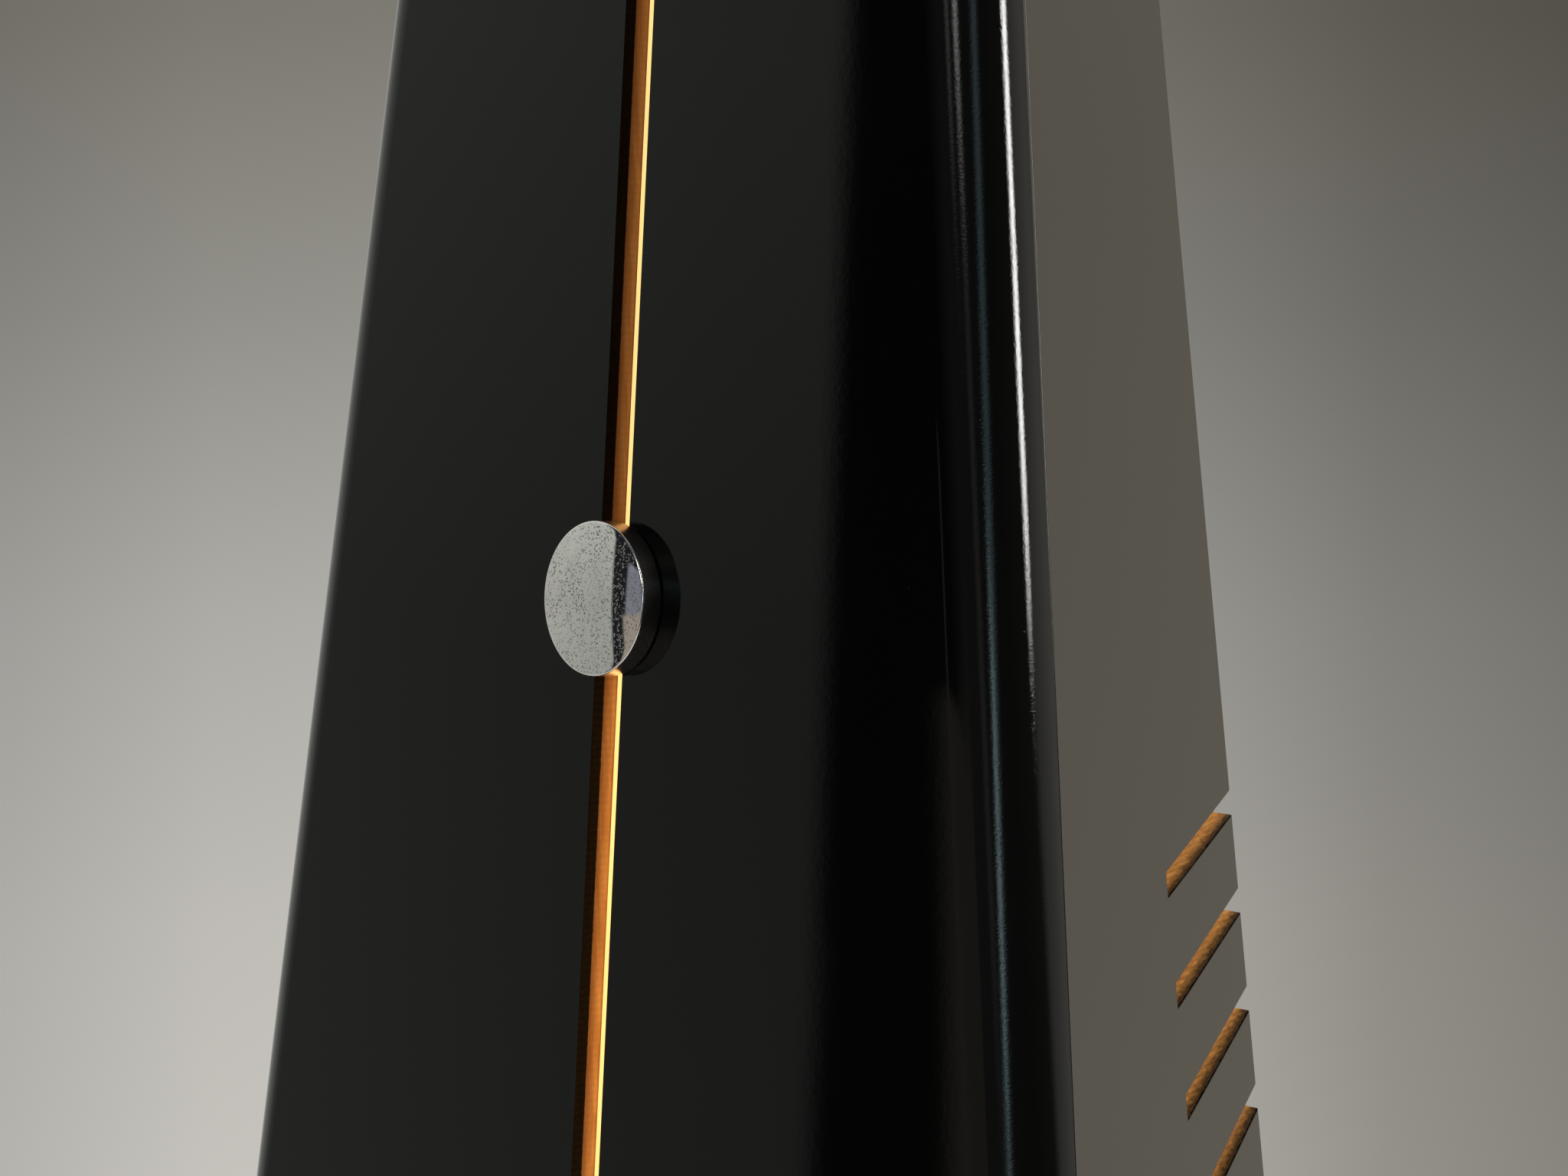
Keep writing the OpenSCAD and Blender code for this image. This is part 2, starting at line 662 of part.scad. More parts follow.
module click() color("#b8b8b8") sheet(ratchet_front, ratchet_front + ratchet_t) difference() {
    translate(barrel_at) union() {
        translate([17, 24]) circle(d = 8);
        polygon([[ratchet_r - 1.3, 0.6], [ratchet_r + 1.2, 0.6], [19, 6], [20.9, 24], [20.4, 32],
            [17, 32], [13.4, 24], [ratchet_r + 0.3, 4.4]]);
    }
    translate(click_at) circle(d = 3 + 2 * fit_gap);
}

module click_screw() color("#c8c8c8") {
    into(click_at, plates_back, ratchet_front + ratchet_t + 0.3, 3);
    into(click_at, ratchet_front + ratchet_t + 0.3, ratchet_front + ratchet_t + 1.8, 6);
}

module click_spring() color("#8a9098") sheet(plates_back, ratchet_front + ratchet_t)
    translate(barrel_at) union() {
        translate([29, 14]) circle(d = 5);
        polygon([[28.6, 14], [29.5, 14], [22.4, 31], [21.5, 31]]);
    }

module second_arbor() color("#d0d0d0") {
    into(second_at, plates_front + 0.3, great_wheel_d - 0.5, arbor_d);
    into(second_at, great_wheel_d + great_t + 0.5, plates_back - 0.3, arbor_d);
    sheet(great_wheel_d - 0.5, great_wheel_d + great_t + 0.5)
        translate(second_at) rotate(great_angle + 180 + 180 / second_leaves)
            gear(second_leaves, great_module);
}

module second_wheel() color("#c8a24a") sheet(second_wheel_d, second_wheel_d + wheel_t)
    spoked(second_at, second_r - 4, 8, arbor_d + 2 * seat_play, 0, 5)
        translate(second_at) rotate(second_angle) gear(second_teeth, second_module);

module escape_arbor() color("#d0d0d0") {
    into(escape_at, plates_front + 0.3, second_wheel_d - 1, arbor_d);
    into(escape_at, second_wheel_d + wheel_t + 1, plates_back - 0.3, arbor_d);
    sheet(second_wheel_d - 1, second_wheel_d + wheel_t + 1)
        translate(escape_at) rotate(second_angle + 180 + 180 / escape_leaves)
            gear(escape_leaves, second_module);
}

escape_teeth = 12;
escape_root = escape_r - 7;
module escape_wheel() color("#c8a24a") sheet(escape_wheel_d, escape_wheel_d + wheel_t)
    spoked(escape_at, escape_root - 4, 7, arbor_d + 2 * seat_play, 0, 4)
        translate(escape_at) polygon([for (i = [0 : escape_teeth - 1])
            for (p = [[-6, escape_root], [-0.8, escape_r], [0.8, escape_r], [6, escape_root]])
                let (a = i * 360 / escape_teeth + p[0]) p[1] * [cos(a), sin(a)]]);

module winding_key() color("#c8a24a") difference() {
    sheet(key_front, key_front + key_len) translate(barrel_at) union() {
        circle(d = winding_d + 7);
        translate([-lobe_x, -4]) square([2 * lobe_x, 8]);
        for (s = [-1, 1]) translate([s * lobe_x, 0]) circle(d = lobe_d);
    }
    for (s = [-1, 1]) into(barrel_at + [s * lobe_x, 0], key_front - past, key_front + key_len + past, 8);
    into(barrel_at, key_front - past, key_front + key_len - 0.9, winding_d + 2 * seat_play);
}

// ---------------------------------------------------------------- stop
stop_at = [0, stop_h];
pad_front = rod_depth + rod_d / 2 + 0.3 + stop_travel;
pad_t = 4;
knob_front = depth_at(back_y, stop_h - knob_d / 2) + stop_travel + 0.3;
knob_back = depth_at(half_base, stop_h + knob_d / 2) - 0.1;

// The felt pad brakes the pendulum from behind its rod
module stop_pad() color("#7a1f1f") into(stop_at, pad_front, pad_front + pad_t, pad_d);

module stop_rod() color("#d0d0d0") {
    into(stop_at, pad_front + pad_t, pad_front + pad_t + 2, pad_d);
    into(stop_at, pad_front + pad_t + 2, knob_front, stop_rod_d);
    into(stop_at, knob_front, knob_back, knob_d);
}

bush_front = depth_at(back_in_y, stop_h + 9) - 2;
module stop_bush() color("#c8a24a") difference() {
    union() {
        into(stop_at, bush_front, bush_front + 2, 18);
        into(stop_at, bush_front + 2, depth_at(back_y, stop_h) - 0.5, stop_rod_d + 6 - 2 * fit_gap);
    }
    into(stop_at, bush_front - past, depth_at(back_y, stop_h), stop_rod_d + 2 * fit_gap);
}

// ---------------------------------------------------------------- lamp
cap_h = 12;
module upright(z0, z1, d) translate([0, tube_y, z0]) cylinder(d = d, h = z1 - z0);

module lamp_tube() color("#fff2c8") upright(tube_low, tube_high, tube_d);

lamp_pin_d = 2.35;
lamp_pin_gap = 5;
lamp_pin_len = 7;
module lamp_pins(d, extra) for (x = [-1, 1], z = [tube_low - cap_h - lamp_pin_len - extra, tube_high])
    translate([x * lamp_pin_gap / 2, 0, 0]) upright(z, z + cap_h + lamp_pin_len + extra, d);

module lamp_caps() color("#c8c8c8") {
    upright(tube_low - cap_h, tube_low, tube_d + 1);
    upright(tube_high, tube_high + cap_h, tube_d + 1);
    lamp_pins(lamp_pin_d, 0);
}

module lamp_holders() color("#e8e8e0") difference() {
    for (z = [tube_low - cap_h - holder_h, tube_high + cap_h])
        translate([-holder_w / 2, tube_y - tube_d / 2, z])
            cube([holder_w, back_in_y - seat_gap - tube_y + tube_d / 2, holder_h]);
    lamp_pins(lamp_pin_d + 2 * seat_play, 0.2);
}

flange_x = 12;
flange_y = 8;
module reflector() color("#e8e8e8") translate([0, 0, tube_low - 4])
    linear_extrude(tube_len + 8) {
        y = back_in_y - seat_gap;
        x = reflector_w / 2 - flange_x;
        polygon([[-x, y], [x, y], [x + flange_x, y - flange_y], [x + flange_x - reflector_t, y - flange_y],
            [x - reflector_t / 2, y - reflector_t], [-x + reflector_t / 2, y - reflector_t],
            [-x - flange_x + reflector_t, y - flange_y], [-x - flange_x, y - flange_y]]);
    }

// ---------------------------------------------------------------- inlet and switch
trim_t = 2;
trim_edge = 4;
module panel_box(p, w, h, y0, y1) translate([p[0] - w / 2, y0, p[1] - h / 2]) cube([w, y1 - y0, h]);

pin_gap = 8.6;
socket_d = 7;
socket_deep = 10;
module power_inlet() color("#1a1a1a") difference() {
    union() {
        panel_box(inlet_at, inlet_w - 0.2, inlet_h - 0.2, back_y - inlet_d, back_y);
        panel_box(inlet_at, inlet_w + 2 * trim_edge, inlet_h + 2 * trim_edge, back_y, back_y + trim_t);
    }
    translate([inlet_at[0], back_y + trim_t + past, inlet_at[1]]) rotate([90, 0, 0])
        linear_extrude(socket_deep + past) union() {
            for (s = [-1, 1]) translate([s * pin_gap / 2, 0]) circle(d = socket_d + 1);
            square([pin_gap, socket_d], center = true);
        }
}

module inlet_pins() color("#c8c8c8") for (s = [-1, 1])
    translate([inlet_at[0] + s * pin_gap / 2, back_y + trim_t - socket_deep, inlet_at[1]])
        rotate([-90, 0, 0]) cylinder(d = 2.4, h = socket_deep - 1.5);

rocker_w = switch_w - 6;
rocker_hole_h = switch_h - 5;
module switch_bezel() color("#1a1a1a") difference() {
    union() {
        panel_box(switch_at, switch_w - 0.2, switch_h - 0.2, back_y - inlet_d, back_y);
        panel_box(switch_at, switch_w + 2 * trim_edge, switch_h + 2 * trim_edge, back_y, back_y + trim_t);
    }
    panel_box(switch_at, rocker_w + 0.6, rocker_hole_h, back_y - inlet_d + 3, back_y + trim_t + past);
    rocker_pin(trunnion_out + 0.2, trunnion_d + 2 * fit_gap);
}

rocker_tilt = 8;
rocker_half = rocker_hole_h / 2 - 1.2;
rocker_axis_y = back_y - 2;
trunnion_d = 3;
trunnion_out = 1.5;

// A pin along the rocker's axis that stands out of both its ends
module rocker_pin(out, d) translate([switch_at[0] - rocker_w / 2 - out, rocker_axis_y, switch_at[1]])
    rotate([0, 90, 0]) cylinder(d = d, h = rocker_w + 2 * out);

module switch_rocker() color("#1a1a1a") {
    translate([switch_at[0] - rocker_w / 2, rocker_axis_y, switch_at[1]]) rotate([-rocker_tilt, 0, 0])
        rotate([90, 0, 90]) linear_extrude(rocker_w)
            polygon([[-6, -5], [-1, -rocker_half], [5, -rocker_half], [3.6, 0], [5, rocker_half],
                [-1, rocker_half], [-6, 5]]);
    rocker_pin(trunnion_out, trunnion_d);
}

lead_y = back_in_y - 5;
lead_z = tube_low - cap_h - holder_h / 2;
module leads() color("#2a2a2a") {
    translate([inlet_at[0] + inlet_w / 2, lead_y, inlet_at[1]]) rotate([0, 90, 0])
        cylinder(d = lead_d, h = switch_at[0] - inlet_at[0] - (inlet_w + switch_w) / 2);
    translate([switch_at[0], lead_y, switch_at[1] + switch_h / 2])
        cylinder(d = lead_d, h = lead_z - switch_at[1] - switch_h / 2);
    translate([switch_at[0], lead_y, lead_z]) sphere(d = lead_d);
    translate([holder_w / 2, lead_y, lead_z]) rotate([0, 90, 0])
        cylinder(d = lead_d, h = switch_at[0] - holder_w / 2);
}

plinth();
feet();
side_panel_left();
side_panel_right();
back_panel();
back_battens();
top_cap();
back_screws();
front_cover();
cover_pegs();
tempo_disc();
guide_block();
slide_washer();
tempo_yoke();
yoke_screws();
pendulum_rod();
pendulum_hub();
pendulum_bob();
pendulum_arbor();
pallet_anchor();
tempo_weight();
weight_pin();
scale_plate();
scale_rails();
scale_screws();
movement_block();
front_plate();
rear_plate();
plate_pillars();
plate_screws();
plate_brackets();
bracket_screws();
barrel();
barrel_cover();
great_wheel();
mainspring();
winding_arbor();
ratchet_wheel();
click();
click_screw();
click_spring();
second_arbor();
second_wheel();
escape_arbor();
escape_wheel();
winding_key();
stop_rod();
stop_pad();
stop_bush();
lamp_tube();
lamp_caps();
lamp_holders();
reflector();
power_inlet();
inlet_pins();
switch_bezel();
switch_rocker();
leads();
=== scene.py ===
"""Looks of a tall, lit clockwork metronome, built around its packed solids.

Every class below is one sub-assembly of the metronome. It takes its places from the packed
frame, models or finishes its pieces, dresses them in procedural finishes and hangs them on
the body that carries them.
"""

import json
import logging
import math
from collections.abc import Callable, Sequence
from dataclasses import dataclass, field
from enum import Enum, IntEnum

import bpy
from mathutils import Matrix, Vector

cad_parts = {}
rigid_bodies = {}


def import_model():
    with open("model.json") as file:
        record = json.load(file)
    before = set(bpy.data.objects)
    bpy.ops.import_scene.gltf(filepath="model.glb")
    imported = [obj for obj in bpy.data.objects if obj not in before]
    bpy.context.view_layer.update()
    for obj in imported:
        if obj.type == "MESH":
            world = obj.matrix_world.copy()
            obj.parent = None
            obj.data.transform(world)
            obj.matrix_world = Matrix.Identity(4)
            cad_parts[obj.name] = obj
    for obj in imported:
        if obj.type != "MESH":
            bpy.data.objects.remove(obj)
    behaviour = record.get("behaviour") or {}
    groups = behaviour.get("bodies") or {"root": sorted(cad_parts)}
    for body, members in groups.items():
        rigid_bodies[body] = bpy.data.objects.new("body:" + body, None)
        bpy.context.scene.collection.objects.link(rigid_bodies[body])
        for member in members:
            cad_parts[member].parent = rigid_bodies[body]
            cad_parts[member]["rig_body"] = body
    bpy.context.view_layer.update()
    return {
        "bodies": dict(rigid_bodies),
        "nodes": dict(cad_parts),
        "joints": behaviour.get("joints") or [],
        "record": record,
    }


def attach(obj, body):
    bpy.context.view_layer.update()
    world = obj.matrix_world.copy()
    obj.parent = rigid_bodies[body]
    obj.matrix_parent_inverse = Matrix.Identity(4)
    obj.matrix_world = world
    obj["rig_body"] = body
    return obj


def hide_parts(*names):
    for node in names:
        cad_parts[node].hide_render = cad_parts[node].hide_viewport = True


LOG = logging.getLogger("metronome")
MM = 0.001
MICRON = 0.000001
Colour = tuple[float, float, float]
Triple = tuple[float, float, float]
Span = tuple[float, float]
Stop = tuple[float, Colour]

# The Mix node's sockets for two colours and their mixture
FIRST_COLOUR, SECOND_COLOUR, MIXED_COLOUR = 6, 7, 2


# ---------------------------------------------------------------- node graphs


class Graph:
    """A node tree under construction, with one short method per kind of node."""

    def __init__(self, tree: bpy.types.NodeTree) -> None:
        """Start from an empty tree.

        Args:
            tree: The material's or the world's node tree.
        """
        self.tree = tree
        tree.nodes.clear()

    def add(self, kind: str, **settings: object) -> bpy.types.Node:
        """Add a node.

        Args:
            kind: Blender's name for the node type.
            **settings: Properties set on the node.

        Returns:
            The new node.
        """
        node = self.tree.nodes.new(kind)
        for name, value in settings.items():
            setattr(node, name, value)
        return node

    def put(self, socket: bpy.types.NodeSocket, value: object) -> None:
        """Link an output to an input, or set a plain value on it.

        Args:
            socket: The input.
            value: The output, or the number, vector or colour.
        """
        if isinstance(value, bpy.types.NodeSocket):
            self.tree.links.new(value, socket)
        elif isinstance(value, tuple) and len(value) == 3 and socket.type == "RGBA":
            socket.default_value = (*value, 1.0)
        else:
            socket.default_value = value

    def place(self, scale: Triple = (1, 1, 1), turn: Triple = (0, 0, 0)) -> bpy.types.NodeSocket:
        """Give the object coordinates through a mapping.

        Args:
            scale: Stretch along each axis.
            turn: Euler angles in radians.

        Returns:
            The mapped coordinates.
        """
        mapping = self.add("ShaderNodeMapping")
        self.put(mapping.inputs["Vector"], self.add("ShaderNodeTexCoord").outputs["Object"])
        self.put(mapping.inputs["Scale"], scale)
        self.put(mapping.inputs["Rotation"], turn)
        return mapping.outputs["Vector"]

    def noise(self, at: bpy.types.NodeSocket, scale: float, detail: float = 4.0,
              rough: float = 0.55, warp: float = 0.0) -> bpy.types.NodeSocket:
        """Give a fractal noise between 0 and 1.

        Args:
            at: The coordinates.
            scale: Roughly how many features there are to a metre.
            detail: How many finer layers are added.
            rough: How strongly each finer layer shows.
            warp: How much the noise is bent by itself.

        Returns:
            The noise.
        """
        node = self.add("ShaderNodeTexNoise")
        self.put(node.inputs["Vector"], at)
        for name, value in (("Scale", scale), ("Detail", detail), ("Roughness", rough),
                            ("Distortion", warp)):
            self.put(node.inputs[name], value)
        return node.outputs["Fac"]

    def cells(self, at: bpy.types.NodeSocket, scale: float) -> bpy.types.NodeSocket:
        """Give the distance to the nearest of many scattered points.

        Args:
            at: The coordinates.
            scale: Roughly how many points there are to a metre.

        Returns:
            The distance, as a share of the usual spacing.
        """
        node = self.add("ShaderNodeTexVoronoi")
        self.put(node.inputs["Vector"], at)
        self.put(node.inputs["Scale"], scale)
        return node.outputs["Distance"]

    def waves(self, at: bpy.types.NodeSocket, scale: float, warp: float, detail: float,
              direction: str) -> bpy.types.NodeSocket:
        """Give parallel waves, warped by noise.

        Args:
            at: The coordinates.
            scale: How closely the waves follow each other.
            warp: How much the noise bends them.
            detail: How many finer layers the noise has.
            direction: The axis that they run along.

        Returns:
            The height of the wave, from 0 to 1.
        """
        node = self.add("ShaderNodeTexWave", bands_direction=direction)
        self.put(node.inputs["Vector"], at)
        for name, value in (("Scale", scale), ("Distortion", warp), ("Detail", detail)):
            self.put(node.inputs[name], value)
        return node.outputs["Fac"]

    def ramp(self, value: bpy.types.NodeSocket, stops: Sequence[Stop]) -> bpy.types.NodeSocket:
        """Turn a number into a colour.

        Args:
            value: The number, from 0 to 1.
            stops: Positions and linear colours, in order.

        Returns:
            The colour.
        """
        node = self.add("ShaderNodeValToRGB")
        elements = node.color_ramp.elements
        while len(elements) < len(stops):
            elements.new(0.5)
        for element, (place, colour) in zip(elements, stops):
            element.position = place
            element.color = (*colour, 1.0)
        self.put(node.inputs["Fac"], value)
        return node.outputs["Color"]

    def span(self, value: object, low: float, high: float, to_low: float = 0.0,
             to_high: float = 1.0) -> bpy.types.NodeSocket:
        """Map a number from one range to another and clamp it.

        Args:
            value: The number.
            low: Where its range starts.
            high: Where its range ends.
            to_low: What the start becomes.
            to_high: What the end becomes.

        Returns:
            The mapped number.
        """
        node = self.add("ShaderNodeMapRange", clamp=True)
        for name, number in (("Value", value), ("From Min", low), ("From Max", high),
                             ("To Min", to_low), ("To Max", to_high)):
            self.put(node.inputs[name], number)
        return node.outputs["Result"]

    def sum(self, operation: str, a: object, b: object = 0.0) -> bpy.types.NodeSocket:
        """Combine two numbers.

        Args:
            operation: Blender's name for the Math operation.
            a: The first number.
            b: The second, for an operation that takes two.

        Returns:
            The result.
        """
        node = self.add("ShaderNodeMath", operation=operation)
        self.put(node.inputs[0], a)
        self.put(node.inputs[1], b)
        return node.outputs["Value"]

    def along(self, at: bpy.types.NodeSocket, direction: Vector,
              start: float = 0.0) -> bpy.types.NodeSocket:
        """Measure a place along a direction.

        Args:
            at: The coordinates.
            direction: The direction, of length 1.
            start: Where the measure starts, in metres from the origin.

        Returns:
            The distance in metres.
        """
        node = self.add("ShaderNodeVectorMath", operation="DOT_PRODUCT")
        self.put(node.inputs[0], at)
        self.put(node.inputs[1], tuple(direction))
        return self.sum("SUBTRACT", node.outputs["Value"], start)

    def mix(self, share: object, a: object, b: object, how: str = "MIX") -> bpy.types.NodeSocket:
        """Mix two colours.

        Args:
            share: How much of the second shows, from 0 to 1.
            a: The first colour.
            b: The second colour.
            how: Blender's name for the way that they mix.

        Returns:
            The mixture.
        """
        node = self.add("ShaderNodeMix", data_type="RGBA", blend_type=how)
        self.put(node.inputs["Factor"], share)
        self.put(node.inputs[FIRST_COLOUR], a)
        self.put(node.inputs[SECOND_COLOUR], b)
        return node.outputs[MIXED_COLOUR]

    def bump(self, height: object, depth: float, strength: float = 1.0,
             over: bpy.types.NodeSocket | None = None) -> bpy.types.NodeSocket:
        """Give a normal from a height.

        Args:
            height: The height, from 0 to 1.
            depth: What a height of 1 stands for, in metres.
            strength: How much of it shows.
            over: A normal that it adds to.

        Returns:
            The bumped normal.
        """
        node = self.add("ShaderNodeBump")
        self.put(node.inputs["Height"], height)
        self.put(node.inputs["Distance"], depth)
        self.put(node.inputs["Strength"], strength)
        if over is not None:
            self.put(node.inputs["Normal"], over)
        return node.outputs["Normal"]

    def surface(self, **inputs: object) -> bpy.types.Node:
        """Add the main shader and the output.

        Args:
            **inputs: Values or sockets by input name, with _ for a space.

        Returns:
            The shader.
        """
        shader = self.add("ShaderNodeBsdfPrincipled")
        for name, value in inputs.items():
            self.put(shader.inputs[name.replace("_", " ")], value)
        self.put(self.add("ShaderNodeOutputMaterial").inputs["Surface"], shader.outputs[0])
        return shader


# ---------------------------------------------------------------- finishes


def scaled(colour: Colour, gain: float, lift: float = 0.0) -> Colour:
    """Brighten or dim a colour.

    Args:
        colour: The colour.
        gain: What each share is multiplied by.
        lift: What is added to each share.

    Returns:
        The new colour.
    """
    return tuple(share * gain + lift for share in colour)


@dataclass(frozen=True)
class Lacquer:
    """Polished black lacquer with a faint orange peel, dust in it and a grittier coat on round corners."""

    base: Colour = (0.0018, 0.0019, 0.0017)
    gloss_ior: float = 1.33
    roughness: float = 0.03
    roughness_gain: Span = (0.8, 1.25)
    roughness_at: Span = (0.3, 0.75)
    haze_scale: float = 9.0
    mottle_at: Span = (0.35, 0.7)
    mottle_gain: float = 1.35
    peel_scale: float = 420.0
    peel_depth: float = 4 * MICRON
    grit_scale: float = 1500.0
    grit_depth: float = 28 * MICRON
    dust: Colour = (0.055, 0.055, 0.05)
    dust_scale: float = 170.0
    dust_size: Span = (0.016, 0.034)
    dust_depth: float = 50 * MICRON
    dusty_scale: float = 23.0
    dusty_at: Span = (0.52, 0.62)
    round_after: Span = (0.15, 0.4)
    flat_after: Span = (0.93, 0.985)

    def dress(self, g: Graph) -> None:
        """Build the finish in a node graph.

        Args:
            g: The material's graph.
        """
        at = g.place()
        dust = g.span(g.cells(at, self.dust_scale), *self.dust_size, 1.0, 0.0)
        patches = g.span(g.noise(at, self.dusty_scale, 2.0), *self.dusty_at)
        speck = g.sum("MULTIPLY", dust, patches)
        haze = g.noise(at, self.haze_scale, 5.0)
        peel = g.bump(g.noise(at, self.peel_scale, 3.0, 0.6), self.peel_depth, 0.5)
        facing = g.add("ShaderNodeSeparateXYZ")
        g.put(facing.inputs[0], g.add("ShaderNodeNewGeometry").outputs["Normal"])
        rounded = g.span(g.sum("ABSOLUTE", facing.outputs["X"]), *self.round_after)
        flat_side = g.span(g.sum("ABSOLUTE", facing.outputs["X"]), *self.flat_after)
        sprayed = g.sum("MULTIPLY", rounded, g.sum("SUBTRACT", 1.0, flat_side))
        grit = g.sum("MULTIPLY", g.noise(at, self.grit_scale, 3.0, 0.7), sprayed)
        peel = g.bump(grit, self.grit_depth, 0.7, peel)
        mottled = g.mix(g.span(haze, *self.mottle_at), self.base, scaled(self.base, self.mottle_gain))
        hazed = (self.roughness * gain for gain in self.roughness_gain)
        g.surface(Base_Color=g.mix(speck, mottled, self.dust),
                  Roughness=g.span(haze, *self.roughness_at, *hazed),
                  IOR=self.gloss_ior,
                  Normal=g.bump(speck, self.dust_depth, 0.6, peel))


@dataclass(frozen=True)
class SawnWood:
    """Raw light wood as the saw left it, with grain, saw marks and darker pores."""

    pale: Colour = (0.62, 0.44, 0.20)
    dark: Colour = (0.34, 0.18, 0.055)
    marks: float = 0.22
    saw_turn: Triple = (0.0, 0.6, 0.0)
    saw_scale: float = 190.0
    saw_warp: float = 1.4
    saw_height: float = 0.4
    grain_scale: float = 700.0
    grain_at: Span = (0.3, 0.72)
    grain_height: float = 0.6
    streak_scale: float = 130.0
    streak_at: Span = (0.35, 0.75)
    streak_share: float = 0.45
    stretch: Triple = (1.0, 1.0, 0.09)
    roughness: float = 0.72
    depth: float = 250 * MICRON

    def colour(self, g: Graph) -> tuple[bpy.types.NodeSocket, bpy.types.NodeSocket]:
        """Give the wood's colour and its height.

        Args:
            g: The material's graph.

        Returns:
            The colour, and the height from 0 to 1.
        """
        stretched = g.place(scale=self.stretch)
        grain = g.noise(stretched, self.grain_scale, 6.0, 0.62, 0.4)
        streaks = g.noise(stretched, self.streak_scale, 4.0, 0.6)
        saw = g.waves(g.place(turn=self.saw_turn), self.saw_scale, self.saw_warp, 3.0, "Z")
        body = g.mix(g.span(grain, *self.grain_at), self.dark, self.pale)
        banded = g.mix(g.span(streaks, *self.streak_at, 0.0, self.streak_share), body, self.dark)
        height = g.sum("ADD", g.sum("MULTIPLY", grain, self.grain_height),
                       g.sum("MULTIPLY", saw, self.saw_height))
        shade = g.span(saw, 0.0, 1.0, 0.0, self.marks)
        return g.mix(shade, banded, self.dark), height

    def dress(self, g: Graph) -> None:
        """Build the finish in a node graph.

        Args:
            g: The material's graph.
        """
        colour, height = self.colour(g)
        g.surface(Base_Color=colour, Roughness=self.roughness, Specular_IOR_Level=0.3,
                  Normal=g.bump(height, self.depth, 0.7))


@dataclass(frozen=True)
class PaintedEdge:
    """A cut through a lacquered board: lacquer and scorch run in from the face, then bare wood shows."""

    inward: Vector
    face: float
    paint_in: float
    fuzz: float
    board: float
    wood: SawnWood = SawnWood()
    # Painted shade on the cut: its colour, its strongest share, and how far in from the paint it is full
    # and where it ends
    scorch: Colour = (0.12, 0.045, 0.010)
    scorch_share: float = 0.8
    scorch_full: float = 0.0
    scorch_in: float = 4 * MM
    # A darker band along the board's back edge: its colour, share and reach
    rim: Colour = (0.12, 0.04, 0.008)
    rim_share: float = 0.6
    rim_reach: Span = (0.8 * MM, 0.2 * MM)
    paint: Colour = (0.0018, 0.0010, 0.0007)
    paint_line: float = 0.1 * MM
    torn: float = 2.5
    torn_scale: float = 900.0
    roughness: Span = (0.42, 0.75)
    gloss: Span = (0.03, 0.3)
    depth: float = 300 * MICRON

    def dress(self, g: Graph) -> None:
        """Build the finish in a node graph.

        Args:
            g: The material's graph.
        """
        at = g.place()
        depth = g.along(at, self.inward, self.face)
        centred = g.sum("SUBTRACT", g.noise(at, self.torn_scale, 5.0, 0.7), 0.5)
        ragged = g.sum("MULTIPLY", centred, self.fuzz)
        bare = g.span(g.sum("ADD", depth, ragged), self.paint_in - self.paint_line,
                      self.paint_in + self.paint_line)
        colour, height = self.wood.colour(g)
        rim = g.span(depth, self.board - self.rim_reach[0], self.board - self.rim_reach[1])
        # Painted shade: the wood is painted darker towards the lacquered face, where less of the lamp's
        # light reaches it
        torn = g.sum("ADD", depth, g.sum("MULTIPLY", ragged, self.torn))
        painted_shade_mask = g.span(torn, self.paint_in + self.scorch_full, self.paint_in + self.scorch_in,
                          self.scorch_share, 0.0)
        shaded_wood = g.mix(painted_shade_mask, colour, self.scorch)
        # The wood is painted darker in a band along the board's back edge
        rim_darkened = g.mix(g.sum("MULTIPLY", rim, self.rim_share), shaded_wood, self.rim)
        g.surface(Base_Color=g.mix(bare, self.paint, rim_darkened),
                  Roughness=g.span(bare, 0.0, 1.0, *self.roughness),
                  Specular_IOR_Level=g.span(bare, 0.0, 1.0, *self.gloss),
                  Normal=g.bump(height, self.depth, 0.8))


@dataclass(frozen=True)
class Metal:
    """A metal, brushed or polished, with tarnish in its hollows."""

    base: Colour
    tarnish: Colour
    roughness: float = 0.28
    brush: Triple = (1.0, 1.0, 0.08)
    mark: float = 0.25
    brush_scale: float = 2600.0
    brush_depth: float = 10 * MICRON
    brush_roughness: float = 0.08
    stain_scale: float = 60.0
    stain_at: Span = (0.5, 0.78)
    stain_roughness: float = 1.5
    rougher_at: Span = (0.3, 0.8)

    def dress(self, g: Graph) -> None:
        """Build the finish in a node graph.

        Args:
            g: The material's graph.
        """
        fine = g.noise(g.place(scale=self.brush), self.brush_scale, 3.0, 0.6)
        stain = g.noise(g.place(), self.stain_scale, 6.0, 0.65, 0.3)
        spread = g.span(stain, *self.stain_at, 0.0, self.mark * 2)
        dull = g.span(stain, *self.rougher_at, self.roughness, self.roughness * self.stain_roughness)
        g.surface(Base_Color=g.mix(spread, self.base, self.tarnish),
                  Metallic=1.0,
                  Roughness=g.sum("ADD", dull, g.sum("MULTIPLY", fine, self.brush_roughness)),
                  Normal=g.bump(fine, self.brush_depth, self.mark))


